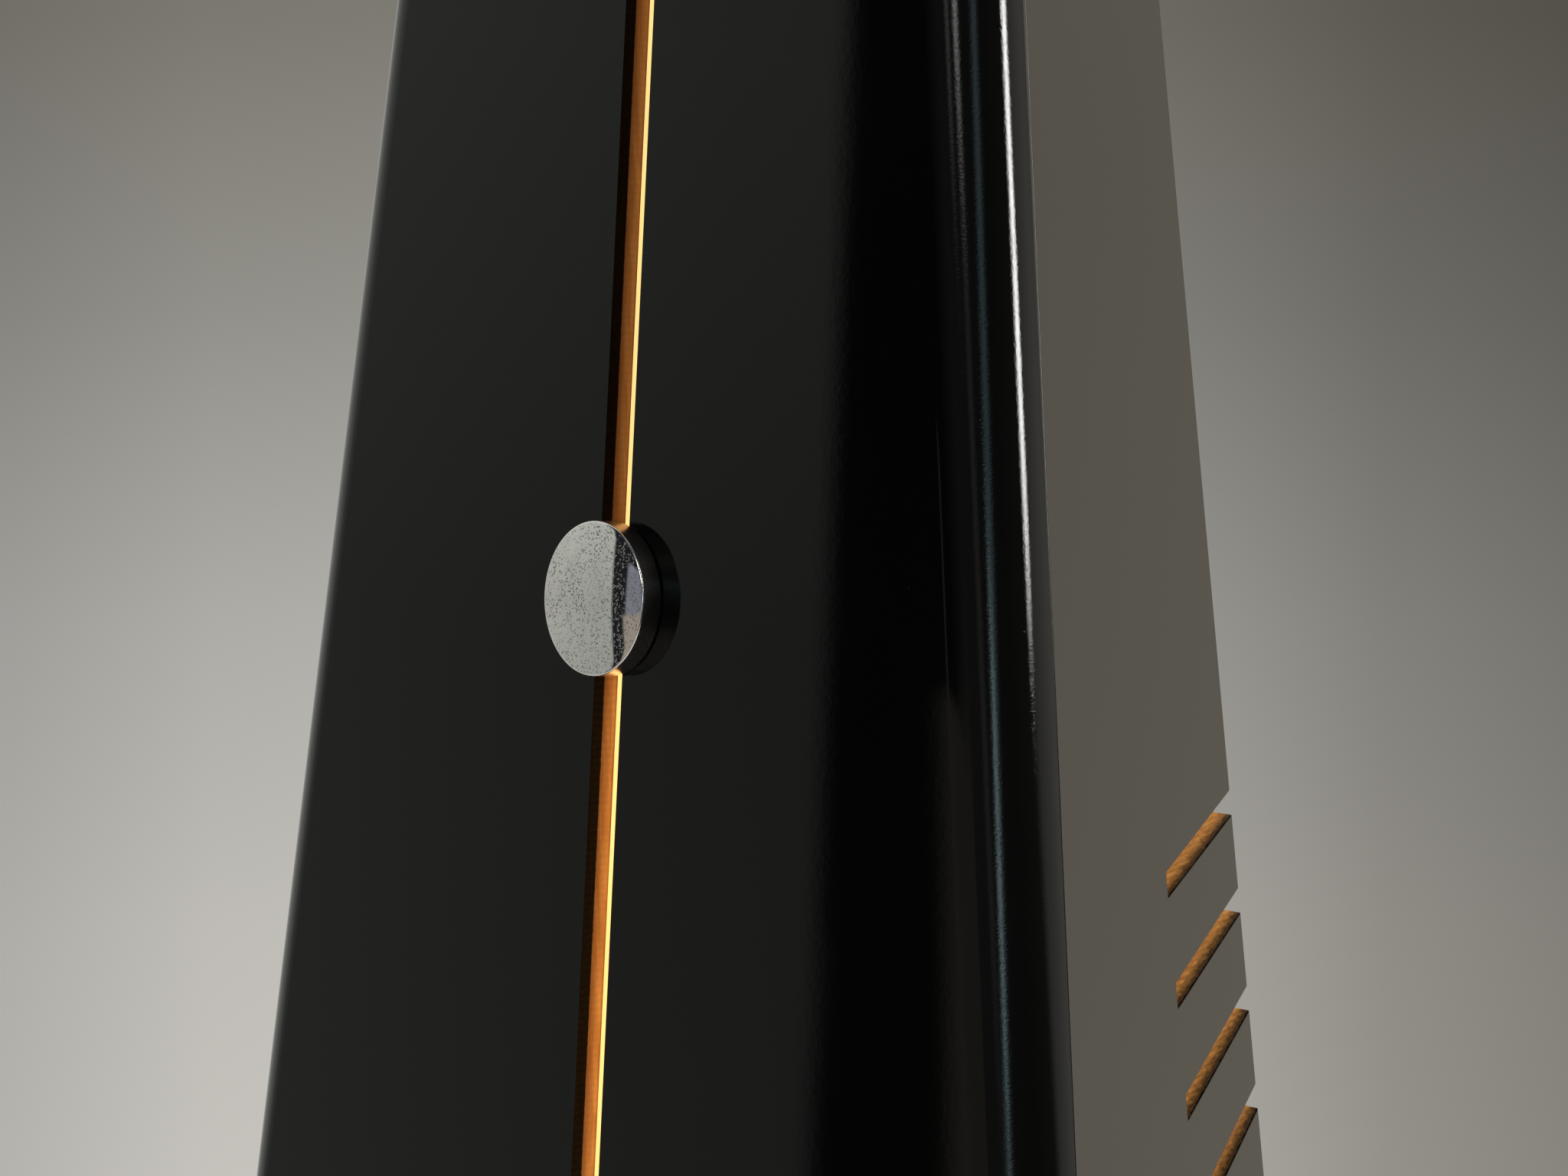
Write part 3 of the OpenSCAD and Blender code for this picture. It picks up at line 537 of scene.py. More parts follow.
@dataclass(frozen=True)
class PittedChrome:
    """Old chrome plating: a sharp mirror, peppered with fine pits that thin out towards clean patches."""

    base: Colour = (0.94, 0.90, 0.90)
    pit: Colour = (0.17, 0.17, 0.165)
    cloud: Colour = (0.55, 0.55, 0.51)
    roughness: float = 0.02
    dense_scale: float = 90.0
    dense_at: Span = (0.34, 0.60)
    thinnest: float = 0.25
    fine_scale: float = 1500.0
    fine_size: Span = (0.31, 0.44)
    sparse_scale: float = 900.0
    sparse_at: Span = (0.42, 0.52)
    coarse_scale: float = 620.0
    coarse_size: Span = (0.06, 0.13)
    coarse_at: Span = (0.2, 0.6)
    coarse_share: Span = (0.3, 0.9)
    cloud_scale: float = 150.0
    cloud_stretch: Triple = (1.0, 1.0, 0.7)
    cloud_at: Span = (0.4, 0.75)
    cloud_share: float = 0.3
    pit_roughness: float = 0.6
    depth: float = 20 * MICRON

    def dress(self, g: Graph) -> None:
        """Build the finish in a node graph.

        Args:
            g: The material's graph.
        """
        at = g.place()
        density = g.span(g.noise(at, self.dense_scale, 4.0, 0.65), *self.dense_at, self.thinnest, 1.0)
        small = g.span(g.cells(at, self.fine_scale), *self.fine_size, 1.0, 0.0)
        large = g.span(g.cells(at, self.coarse_scale), *self.coarse_size, 1.0, 0.0)
        sparse = g.span(g.noise(at, self.sparse_scale, 2.0), *self.sparse_at)
        peppered = g.sum("MULTIPLY", g.sum("MULTIPLY", small, sparse), density)
        blotched = g.sum("MULTIPLY", large, g.span(density, *self.coarse_at, *self.coarse_share))
        marks = g.sum("MAXIMUM", peppered, blotched)
        cloud = g.noise(g.place(scale=self.cloud_stretch), self.cloud_scale, 5.0, 0.6)
        clouded = g.mix(g.span(cloud, *self.cloud_at, 0.0, self.cloud_share), self.base, self.cloud)
        g.surface(Base_Color=g.mix(marks, clouded, self.pit),
                  Metallic=g.span(marks, 0.3, 1.0, 1.0, 0.0),
                  Specular_IOR_Level=0.2,
                  Roughness=g.span(marks, 0.0, 1.0, self.roughness, self.pit_roughness),
                  Normal=g.bump(marks, self.depth, -0.6))


@dataclass(frozen=True)
class LitSheet:
    """A warm translucent sheet with light behind it, a touch uneven over its length.

    The eye sees the face's own colour. What the sheet casts on its neighbours is stronger near
    the lamp and falls off above it.
    """

    cast: Colour = (1.5, 0.80, 0.275)
    face: Colour = (1.0, 0.75, 0.29)
    body: Colour = (0.55, 0.45, 0.28)
    strong: float = 2.25
    weak: float = 0.7
    strong_below: Span = (0.38, 0.46)
    upper_rise: Span = (0.58, 0.66)
    upper_gain: float = 0.5
    cloud_scale: float = 26.0
    cloud_stretch: Triple = (1.0, 1.0, 0.25)
    cloud_at: Span = (0.3, 0.7)
    cloud_share: float = 0.35
    cloud_dim: float = 0.8

    def cloudy(self, g: Graph, share: bpy.types.NodeSocket, colour: Colour) -> bpy.types.NodeSocket:
        """Dim a colour by the share of cloud."""
        return g.mix(share, colour, scaled(colour, self.cloud_dim))

    def dress(self, g: Graph) -> None:
        """Build the finish in a node graph.

        Args:
            g: The material's graph.
        """
        at = g.place()
        cloud = g.noise(g.place(scale=self.cloud_stretch), self.cloud_scale, 3.0)
        share = g.span(cloud, *self.cloud_at, 0.0, self.cloud_share)
        level = g.along(at, Vector((0, 0, 1)))
        strength = g.sum("ADD", g.span(level, *self.strong_below, self.strong, self.weak),
                         g.span(level, *self.upper_rise, 0.0, self.upper_gain))
        seen = g.add("ShaderNodeLightPath").outputs["Is Camera Ray"]
        unseen = g.sum("MULTIPLY", strength, g.sum("SUBTRACT", 1.0, seen))
        g.surface(Base_Color=self.body, Roughness=0.5,
                  Emission_Color=g.mix(seen, self.cloudy(g, share, self.cast),
                                       self.cloudy(g, share, self.face)),
                  Emission_Strength=g.sum("MAXIMUM", seen, unseen))


@dataclass(frozen=True)
class Moulded:
    """Moulded plastic or rubber with a fine grain and light scuffs."""

    base: Colour
    roughness: float = 0.45
    grain: float = 900.0
    depth: float = 30 * MICRON
    roughness_gain: Span = (0.85, 1.15)
    roughness_at: Span = (0.3, 0.7)
    scuff_scale: float = 45.0
    scuff_at: Span = (0.55, 0.8)
    scuff_share: float = 0.3
    scuff_gain: float = 1.5
    scuff_lift: float = 0.01

    def dress(self, g: Graph) -> None:
        """Build the finish in a node graph.

        Args:
            g: The material's graph.
        """
        at = g.place()
        fine = g.noise(at, self.grain, 3.0)
        scuff = g.span(g.noise(at, self.scuff_scale, 6.0, 0.7), *self.scuff_at, 0.0, self.scuff_share)
        light = scaled(self.base, self.scuff_gain, self.scuff_lift)
        grained = (self.roughness * gain for gain in self.roughness_gain)
        g.surface(Base_Color=g.mix(scuff, self.base, light),
                  Roughness=g.span(fine, *self.roughness_at, *grained),
                  Normal=g.bump(fine, self.depth, 0.5))


@dataclass(frozen=True)
class Felt:
    """Pressed felt with short stray fibres."""

    base: Colour = (0.16, 0.012, 0.012)
    stray_gain: float = 2.2
    fibre_scale: float = 3200.0
    depth: float = 300 * MICRON

    def dress(self, g: Graph) -> None:
        """Build the finish in a node graph.

        Args:
            g: The material's graph.
        """
        fibres = g.noise(g.place(), self.fibre_scale, 6.0, 0.8, 1.2)
        g.surface(Base_Color=g.mix(fibres, self.base, scaled(self.base, self.stray_gain)),
                  Roughness=0.95, Sheen_Weight=0.5, Normal=g.bump(fibres, self.depth, 0.8))


@dataclass(frozen=True)
class Ply:
    """Thin plywood: rotary-cut figure on its faces and dark and light plies on its edges."""

    pale: Colour = (0.50, 0.33, 0.17)
    dark: Colour = (0.28, 0.155, 0.07)
    ply: float = 1.2 * MM
    ply_at: Span = (0.4, 0.6)
    ply_share: float = 0.2
    figure_scale: float = 34.0
    figure_stretch: Triple = (1.0, 1.0, 0.12)
    figure_at: Span = (0.35, 0.7)
    fibre_scale: float = 900.0
    fibre_stretch: Triple = (1.0, 1.0, 0.05)
    fibre_at: Span = (0.4, 0.8)
    fibre_share: float = 0.3
    depth: float = 100 * MICRON

    def dress(self, g: Graph) -> None:
        """Build the finish in a node graph.

        Args:
            g: The material's graph.
        """
        figure = g.noise(g.place(scale=self.figure_stretch), self.figure_scale, 6.0, 0.6, 1.4)
        fibre = g.noise(g.place(scale=self.fibre_stretch), self.fibre_scale, 3.0)
        plies = g.waves(g.place(), 0.5 / self.ply / math.tau * 2.2, 0.3, 1.0, "Y")
        face = g.mix(g.span(figure, *self.figure_at), self.dark, self.pale)
        lined = g.mix(g.span(plies, *self.ply_at, 0.0, self.ply_share), face, self.dark)
        fibrous = g.span(fibre, *self.fibre_at, 0.0, self.fibre_share)
        g.surface(Base_Color=g.mix(fibrous, lined, self.dark),
                  Roughness=0.62, Specular_IOR_Level=0.35, Normal=g.bump(fibre, self.depth, 0.5))


@dataclass(frozen=True)
class TubeGlass:
    """A frosted lamp tube that glows from inside."""

    glow: Colour = (1.0, 0.72, 0.36)
    strength: float = 1.4
    thin: Colour = (0.75, 0.72, 0.66)
    thick: Colour = (0.85, 0.83, 0.78)
    powder_scale: float = 300.0

    def dress(self, g: Graph) -> None:
        """Build the finish in a node graph.

        Args:
            g: The material's graph.
        """
        powder = g.noise(g.place(), self.powder_scale, 3.0)
        g.surface(Base_Color=g.mix(powder, self.thin, self.thick), Roughness=0.25,
                  Emission_Color=self.glow, Emission_Strength=self.strength)


class Finish(Enum):
    """The finishes that need no place on the object, by the slot that each belongs to."""

    LACQUER = ("black_lacquer", Lacquer())
    WOOD = ("raw_wood", SawnWood())
    PLY = ("raw_wood", Ply())
    CHROME = ("chrome", PittedChrome())
    # The disc's wall: chrome painted darker and made rougher, a painted shade for the dark that the wall
    # reflects
    DULL_CHROME = ("chrome", Metal((0.36, 0.34, 0.32), (0.12, 0.10, 0.08), 0.2, (1, 1, 1), 0.15))
    RUBBED_CHROME = ("chrome", Metal((0.96, 0.94, 0.93), (0.80, 0.79, 0.77), 0.03, (1, 1, 1), 0.05))
    BRASS = ("brass", Metal((0.76, 0.52, 0.20), (0.30, 0.17, 0.06), 0.22))
    STEEL = ("steel", Metal((0.56, 0.57, 0.58), (0.26, 0.24, 0.22), 0.24))
    BLUED = ("steel", Metal((0.10, 0.13, 0.22), (0.06, 0.06, 0.08), 0.3))
    IRON = ("iron", Metal((0.16, 0.155, 0.15), (0.09, 0.06, 0.045), 0.48, (1, 1, 1), 0.5))
    OPAL = ("opal", LitSheet())
    TUBE = ("lamp_glass", TubeGlass())
    ALUMINIUM = ("aluminium", Metal((0.78, 0.78, 0.77), (0.45, 0.45, 0.44), 0.32))
    WHITE_PLASTIC = ("white_plastic", Moulded((0.62, 0.60, 0.55), 0.35))
    BLACK_PLASTIC = ("black_plastic", Moulded((0.017, 0.017, 0.018), 0.4))
    RUBBER = ("rubber", Moulded((0.022, 0.021, 0.02), 0.75, 600.0, 100 * MICRON))
    FELT = ("felt", Felt())
    CABLE = ("cable", Moulded((0.03, 0.03, 0.032), 0.5))

    @property
    def slot(self) -> str:
        """The record's slot."""
        return self.value[0]

    def material(self) -> bpy.types.Material:
        """Give the finish's material, made once."""
        return made(f"finish_{self.name.lower()}", self.value[1].dress)


Plain = dict[str, tuple[Finish, float]]


def made(name: str, dress: Callable[[Graph], None]) -> bpy.types.Material:
    """Give the material of that name, built at its first use.

    Args:
        name: The material's name.
        dress: Builds the finish in a graph.

    Returns:
        The material.
    """
    known = bpy.data.materials.get(name)
    if known:
        return known
    material = bpy.data.materials.new(name)
    material.use_nodes = True
    dress(Graph(material.node_tree))
    return material


# ---------------------------------------------------------------- modelling


# Edges sharper than this are broken, and smooth shading stops at this many degrees
SHARP = math.radians(38)
SMOOTH_BELOW = 32.0

# Corners of a packed node closer than this are one, and faces bent less than this are one
WELD = 4 * MICRON
FLAT = math.radians(0.6)

# How much larger faces sway the shading of a shared corner
FACE_WEIGHT = 60

# Faces are put in order of their distance from here, a place with no symmetry to any piece
SORT_FROM = (1.0, 0.31, -0.17)


def pick_nothing() -> None:
    """Deselect everything, in object mode."""
    if bpy.context.object and bpy.context.object.mode != "OBJECT":
        bpy.ops.object.mode_set(mode="OBJECT")
    bpy.ops.object.select_all(action="DESELECT")


def pick(*pieces: bpy.types.Object) -> None:
    """Select some objects alone and make the first one active.

    Args:
        *pieces: The objects.
    """
    bpy.ops.object.select_all(action="DESELECT")
    for piece in pieces:
        piece.select_set(True)
    bpy.context.view_layer.objects.active = pieces[0]


class Edit:
    """Edit mode on one object, entered and left by a with block."""

    def __init__(self, piece: bpy.types.Object) -> None:
        """Keep the object to edit."""
        self.piece = piece

    def __enter__(self) -> None:
        """Enter edit mode with nothing selected."""
        pick(self.piece)
        bpy.ops.object.mode_set(mode="EDIT")
        bpy.ops.mesh.select_all(action="DESELECT")

    def __exit__(self, *_: object) -> None:
        """Leave edit mode."""
        bpy.ops.object.mode_set(mode="OBJECT")


def apply(piece: bpy.types.Object, kind: str, **settings: object) -> None:
    """Add a modifier and apply it.

    Args:
        piece: The object.
        kind: The modifier's type.
        **settings: Its properties.
    """
    pick(piece)
    modifier = piece.modifiers.new(kind.lower(), kind)
    for name, value in settings.items():
        setattr(modifier, name, value)
    bpy.ops.object.modifier_apply(modifier=modifier.name)


def break_edges(piece: bpy.types.Object, width: float,
                seam: Callable[[Vector], bool] | None = None) -> None:
    """Round off the sharp edges of a piece a little.

    Args:
        piece: The piece.
        width: Width of the rounding in metres.
        seam: Tells whether a corner lies on a tight seam, whose edges stay sharp.
    """
    with Edit(piece):
        bpy.ops.mesh.select_mode(type="EDGE")
        bpy.ops.mesh.edges_select_sharp(sharpness=SHARP)
        bpy.ops.object.mode_set(mode="OBJECT")
        corners_of = piece.data.vertices
        for edge in piece.data.edges:
            if seam and all(seam(corners_of[i].co) for i in edge.vertices):
                edge.select = False
        bpy.ops.object.mode_set(mode="EDIT")
        bpy.ops.transform.edge_bevelweight(value=1.0)
    apply(piece, "BEVEL", width=width, segments=2, limit_method="WEIGHT", use_clamp_overlap=True)


def set_place(piece: bpy.types.Object, place: Matrix) -> bpy.types.Object:
    """Move a mesh by a matrix and leave its object at the origin.

    Args:
        piece: The piece.
        place: The matrix.

    Returns:
        The piece.
    """
    piece.data.transform(place @ piece.matrix_world)
    piece.matrix_world = Matrix.Identity(4)
    if place.is_negative:
        piece.data.flip_normals()
    return piece


def smooth(piece: bpy.types.Object, angle: float = SMOOTH_BELOW) -> None:
    """Shade a piece smooth up to an angle, with flats that stay flat.

    Args:
        piece: The piece.
        angle: The angle in degrees.
    """
    pick(piece)
    bpy.ops.object.shade_smooth_by_angle(angle=math.radians(angle))
    apply(piece, "WEIGHTED_NORMAL", keep_sharp=True, weight=FACE_WEIGHT)


def wear(piece: bpy.types.Object, body: str, finish: Finish | None, *replaced: str) -> None:
    """Give a finished piece its material, body, slot and the nodes it stands for.

    Args:
        piece: The piece.
        body: The body that carries it.
        finish: Its finish, or None where its slots are filled already.
        *replaced: The packed nodes that it replaces.
    """
    if finish is not None:
        piece.data.materials.clear()
        piece.data.materials.append(finish.material())
    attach(piece, body)
    if replaced:
        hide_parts(*replaced)
    LOG.info("%s: %d faces on %s", piece.name, len(piece.data.polygons), body)


def merged_copy(node: bpy.types.Object, name: str) -> bpy.types.Object:
    """Copy a packed node with its corners merged and its flats joined up.

    Args:
        node: The node's object.
        name: The copy's name.

    Returns:
        The copy.
    """
    piece = bpy.data.objects.new(name, node.data.copy())
    bpy.context.scene.collection.objects.link(piece)
    with Edit(piece):
        bpy.ops.mesh.select_all(action="SELECT")
        bpy.ops.mesh.customdata_custom_splitnormals_clear()
        bpy.ops.mesh.remove_doubles(threshold=WELD)
        bpy.ops.mesh.dissolve_limited(angle_limit=FLAT)
    return piece


def turned(name: str, rings: Sequence[Span], place: Matrix, sides: int) -> bpy.types.Object:
    """Model a turned piece, ring by ring, from one flat end to the other.

    Args:
        name: The piece's name.
        rings: Radius and height of each ring; the first and last close the ends.
        place: Where its axis, the local Z, lies.
        sides: Corners in a ring.

    Returns:
        The piece.
    """
    pick_nothing()
    radius, height = rings[0]
    bpy.ops.mesh.primitive_circle_add(vertices=sides, radius=radius, fill_type="NGON",
                                      location=(0, 0, height))
    piece = bpy.context.object
    piece.name = name
    bpy.ops.object.mode_set(mode="EDIT")
    bpy.ops.mesh.select_all(action="SELECT")
    for wide, high in rings[1:]:
        share = wide / radius
        bpy.ops.mesh.extrude_region_move(TRANSFORM_OT_translate={"value": (0, 0, high - height)})
        bpy.ops.transform.resize(value=(share, share, 1), center_override=(0, 0, high))
        radius, height = wide, high
    bpy.ops.mesh.select_all(action="SELECT")
    bpy.ops.mesh.normals_make_consistent(inside=False)
    cursor = bpy.context.scene.cursor
    cursor.location = SORT_FROM
    bpy.ops.mesh.sort_elements(type="CURSOR_DISTANCE", elements={"FACE"})
    cursor.location = (0, 0, 0)
    bpy.ops.object.mode_set(mode="OBJECT")
    return set_place(piece, place)


def frame_matrix(origin: Vector, x: Vector, y: Vector, z: Vector) -> Matrix:
    """Give the matrix of a local frame.

    Args:
        origin: Its origin.
        x: Its first axis.
        y: Its second axis.
        z: Its third axis.

    Returns:
        The matrix.
    """
    turn = Matrix((x, y, z)).transposed().to_4x4()
    turn.translation = origin
    return turn


# ---------------------------------------------------------------- places


@dataclass(frozen=True)
class Lean:
    """The leaning frame of the front: x to the right, depth inwards from the front, height along it."""

    out: Vector
    up: Vector
    front: float

    @classmethod
    def of(cls, frame: dict) -> "Lean":
        """Read the frame off the cover's and the disc's joints and the cover's own face.


        Returns:
            The leaning frame.
        """
        axes = {joint["name"]: Vector(joint["axis"]) for joint in frame["joints"]}
        out, up = axes["cover_off"], axes["disc_slide"]
        front = min(-vertex.co.dot(out) for vertex in frame["nodes"]["front_cover"].data.vertices)
        return cls(out, up, front)

    def depth(self, point: Vector) -> float:
        """Give how far behind the front face a point lies."""
        return -point.dot(self.out) - self.front

    def height(self, point: Vector) -> float:
        """Give how far up the front a point lies."""
        return point.dot(self.up)

    def spot(self, x: float, depth: float, height: float) -> Vector:
        """Give the point at a place in this frame."""
        return Vector((x, 0, 0)) - (depth + self.front) * self.out + height * self.up

    def facing(self, x: float, depth: float, height: float) -> Matrix:
        """Give a local frame at a place, with X right, Y up the front and Z out of it."""
        return frame_matrix(self.spot(x, depth, height), Vector((1, 0, 0)), self.up, self.out)

    def reach(self, node: bpy.types.Object) -> tuple[Vector, Vector]:
        """Give how far a node reaches in this frame.

        Args:
            node: The node's object.

        Returns:
            Its lowest and its highest x, depth and height.
        """
        rows = [(v.co.x, self.depth(v.co), self.height(v.co)) for v in node.data.vertices]
        columns = list(zip(*rows))
        return Vector([min(c) for c in columns]), Vector([max(c) for c in columns])


@dataclass
class Assembly:
    """What each sub-assembly knows: the packed frame, the lean of the front and its plain pieces.

    A plain piece needs nothing but its finish and broken edges of a width in millimetres.
    """

    frame: dict
    lean: Lean
    plain: Plain = field(default_factory=dict)

    def node(self, name: str) -> bpy.types.Object:
        """Give a packed node's object."""
        return self.frame["nodes"][name]

    def body_of(self, name: str) -> str:
        """Give the body that carries a node."""
        return self.node(name)["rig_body"]

    def polish(self, name: str, finish: Finish, edge: float, angle: float = SMOOTH_BELOW) -> None:
        """Stand a broken-edged, smooth-shaded copy in for a packed node.

        Args:
            name: The node.
            finish: Its finish.
            edge: Width of the broken edges in millimetres, or 0 for none.
            angle: The angle under which faces run smoothly into each other.
        """
        piece = merged_copy(self.node(name), f"{name}_finished")
        if edge:
            break_edges(piece, edge * MM)
        smooth(piece, angle)
        wear(piece, self.body_of(name), finish, name)

    def polish_plain(self) -> None:
        """Finish the plain pieces."""
        for name, (finish, edge) in self.plain.items():
            self.polish(name, finish, edge)

    def build(self) -> None:
        """Model and dress the sub-assembly's pieces."""
        self.polish_plain()


# ---------------------------------------------------------------- studio


@dataclass(frozen=True)
class Patch:
    """A soft-edged patch of the studio that surfaces reflect, by bearing and rise in degrees."""

    left: float
    right: float
    low: float
    high: float
    colour: Colour
    soft: float = 1.0
    tilt: float = 0.0
    slope: float = 0.0

    def share(self, g: Graph, turn: bpy.types.NodeSocket,
              rise: bpy.types.NodeSocket) -> bpy.types.NodeSocket:
        """Give how much of the patch shows in a direction.

        Args:
            g: The world's graph.
            turn: The direction's bearing in degrees.
            rise: The direction's angle above the horizon in degrees.

        Returns:
            The share, from 0 to 1.
        """
        run = g.sum("MULTIPLY", g.sum("SUBTRACT", turn, self.left), self.slope)
        turn = g.sum("SUBTRACT", turn, g.sum("MULTIPLY", rise, self.tilt))
        rise = g.sum("SUBTRACT", rise, run)
        sides = (g.span(turn, self.left - self.soft, self.left),
                 g.span(turn, self.right + self.soft, self.right),
                 g.span(rise, self.low - self.soft, self.low),
                 g.span(rise, self.high + self.soft, self.high))
        share = sides[0]
        for side in sides[1:]:
            share = g.sum("MULTIPLY", share, side)
        return share


@dataclass(frozen=True)
class Panel:
    """A rectangular soft light: bearing and rise in degrees, size in metres, brightness and tint."""

    name: str
    bearing: float
    rise: float
    size: Span
    radiance: float
    tint: Colour


@dataclass
class Studio:
    """Floor, backdrop, soft lights and the camera.

    The sweep is the paper that the eye sees, by shares of the direction; what surfaces reflect
    is given around the metronome by bearing in degrees, 0 in front and positive to the right.
    """

    eye: Triple = (0.66594, -0.57274, 0.51154)
    look: Triple = (math.radians(84.78), 0.0, math.radians(47.52))
    lens: float = 77.1
    sensor: float = 36.0
    stage_radius: float = 0.95
    stage_level: float = -0.5 * MM
    stage_fade: Span = (0.6, 0.99)
    stage_sides: int = 128
    light_distance: float = 4.2
    aim: Triple = (0.0, 0.0, 0.5)
    paper: tuple[Colour, Colour] = ((0.55, 0.54, 0.52), (0.60, 0.59, 0.565))
    paper_scale: float = 12.0
    # The sweep's painted light and shade: lighter low down and in the middle, darker to the right
    sweep_rise: Span = (-0.30, 0.10)
    sweep_up: tuple[Stop, ...] = (
        (0.0, (0.60, 0.585, 0.55)), (0.11, (0.555, 0.537, 0.500)), (0.28, (0.515, 0.500, 0.463)),
        (0.50, (0.420, 0.410, 0.380)), (0.73, (0.285, 0.278, 0.251)), (0.94, (0.199, 0.190, 0.163)),
        (1.0, (0.190, 0.180, 0.152)))
    sweep_turn: Span = (-0.40, 0.40)
    sweep_across: tuple[Stop, ...] = (
        (0.0, (0.80, 0.80, 0.81)), (0.22, (0.84, 0.84, 0.85)), (0.29, (1.0, 1.0, 1.0)),
        (0.45, (1.10, 1.10, 1.11)), (0.58, (0.86, 0.86, 0.86)), (0.67, (0.67, 0.665, 0.655)),
        (0.72, (0.53, 0.525, 0.51)), (0.79, (0.43, 0.425, 0.41)), (1.0, (0.62, 0.62, 0.61)))
    around: tuple[Stop, ...] = (
        (-180, (0.42, 0.41, 0.385)), (-120, (0.55, 0.545, 0.52)), (-62, (0.56, 0.58, 0.53)),
        (-58, (0.012, 0.012, 0.014)), (-34, (0.012, 0.012, 0.014)), (-8, (0.13, 0.13, 0.135)),
        (8, (0.11, 0.11, 0.11)), (40, (0.045, 0.045, 0.047)), (60, (0.012, 0.012, 0.012)),
        (92, (0.05, 0.05, 0.05)), (101, (0.8, 0.78, 0.72)), (126, (1.35, 1.3, 1.2)),
        (170, (0.42, 0.41, 0.385)), (180, (0.42, 0.41, 0.385)))
    lean_rise: Span = (-6.0, 12.0)
    lean_turn: Span = (-12.0, 2.4)
    wall: tuple[Colour, Colour] = ((0.56, 0.58, 0.53), (0.46, 0.49, 0.44))
    wall_turn: Span = (-60.0, -49.0)
    wall_rise: Span = (9.0, -1.0)
    wall_low: Colour = (0.70, 0.70, 0.70)
    wall_start: Span = (-75.0, -66.0)
    wall_end: float = -46.72
    wall_fade: float = 0.4
    wall_tilt: float = 0.063
    patches: tuple[Patch, ...] = (
        Patch(-43.8, -40.0, -1.3, 3.1, (0.19, 0.205, 0.245), 0.4),
        Patch(-44.4, -4.5, -20.0, -1.7, (0.31, 0.28, 0.235), 0.4, -0.12, 0.13),
        Patch(3.0, 5.5, 16.0, 40.0, (1.4, 1.45, 1.4), 2.2),
        Patch(15.5, 20.5, 2.0, 40.0, (0.38, 0.38, 0.37), 2.0),
        Patch(15.8, 19.5, 19.0, 40.0, (8.5, 8.7, 8.2), 2.4),
        Patch(26.5, 30.5, -3.0, 24.0, (0.9, 1.3, 1.4), 3.5, 0.9),
        Patch(26.8, 28.0, 2.5, 9.0, (5.4, 7.4, 7.6), 1.6, 0.9))
    panels: tuple[Panel, ...] = (
        Panel("key", 96.0, 27.0, (0.45, 2.7), 48.0, (1.0, 0.985, 0.96)),
        Panel("side", 143.0, 4.0, (1.7, 3.4), 1.86, (1.0, 0.88, 0.66)))

    def camera(self) -> None:
        """Place the camera and make it the scene's."""
        pick_nothing()
        bpy.ops.object.camera_add(location=self.eye, rotation=self.look)
        camera = bpy.context.object
        camera.data.lens = self.lens
        camera.data.sensor_width = self.sensor
        bpy.context.scene.camera = camera

    def floor(self) -> None:
        """Lay a pale round floor whose rim fades into the backdrop."""
        pick_nothing()
        bpy.ops.mesh.primitive_circle_add(vertices=self.stage_sides, radius=self.stage_radius,
                                          fill_type="NGON", location=(0, 0, self.stage_level))
        floor = bpy.context.object
        floor.name = "floor"
        material = bpy.data.materials.new("floor_paper")
        material.use_nodes = True
        g = Graph(material.node_tree)
        at = g.place()
        length = g.add("ShaderNodeVectorMath", operation="LENGTH")
        g.put(length.inputs[0], at)
        fade = g.span(length.outputs["Value"], *(self.stage_radius * share for share in self.stage_fade))
        paper = g.add("ShaderNodeBsdfDiffuse")
        g.put(paper.inputs["Color"], g.mix(g.noise(at, self.paper_scale), *self.paper))
        blend = g.add("ShaderNodeMixShader")
        g.put(blend.inputs["Fac"], fade)
        g.put(blend.inputs[1], paper.outputs[0])
        g.put(blend.inputs[2], g.add("ShaderNodeBsdfTransparent").outputs[0])
        g.put(g.add("ShaderNodeOutputMaterial").inputs["Surface"], blend.outputs[0])
        floor.data.materials.append(material)

    def world(self) -> None:
        """Build the backdrop that the eye sees and the studio that surfaces reflect."""
        world = bpy.data.worlds.new("studio")
        bpy.context.scene.world = world
        world.use_nodes = True
        g = Graph(world.node_tree)
        ray = g.add("ShaderNodeTexCoord").outputs["Generated"]
        parts = g.add("ShaderNodeSeparateXYZ")
        g.put(parts.inputs[0], ray)
        across = g.along(ray, Vector((math.cos(self.look[2]), math.sin(self.look[2]), 0)))
        path = g.add("ShaderNodeLightPath")
        seen = g.sum("MAXIMUM", path.outputs["Is Camera Ray"], path.outputs["Is Transmission Ray"])
        around = g.sum("ARCTAN2", parts.outputs["X"], g.sum("MULTIPLY", parts.outputs["Y"], -1.0))
        degree = 360 / math.tau
        turn = g.sum("MULTIPLY", around, degree)
        rise = g.sum("MULTIPLY", g.sum("ARCSINE", parts.outputs["Z"]), degree)
        background = g.add("ShaderNodeBackground")
        shown = g.mix(seen, self.surround(g, turn, rise),
                      self.backdrop(g, across, parts.outputs["Z"]))
        g.put(background.inputs["Color"], shown)
        g.put(g.add("ShaderNodeOutputWorld").inputs["Surface"], background.outputs[0])

    def backdrop(self, g: Graph, across: bpy.types.NodeSocket,
                 rise: bpy.types.NodeSocket) -> bpy.types.NodeSocket:
        """Give the grey paper sweep: lighter downwards, darker to the right.

        Args:
            g: The world's graph.
            across: The direction's share to the right.
            rise: The direction's share upwards.

        Returns:
            The colour.
        """
        tall = g.ramp(g.span(rise, *self.sweep_rise), self.sweep_up)
        wide = g.ramp(g.span(across, *self.sweep_turn), self.sweep_across)
        return g.mix(1.0, tall, wide, "MULTIPLY")

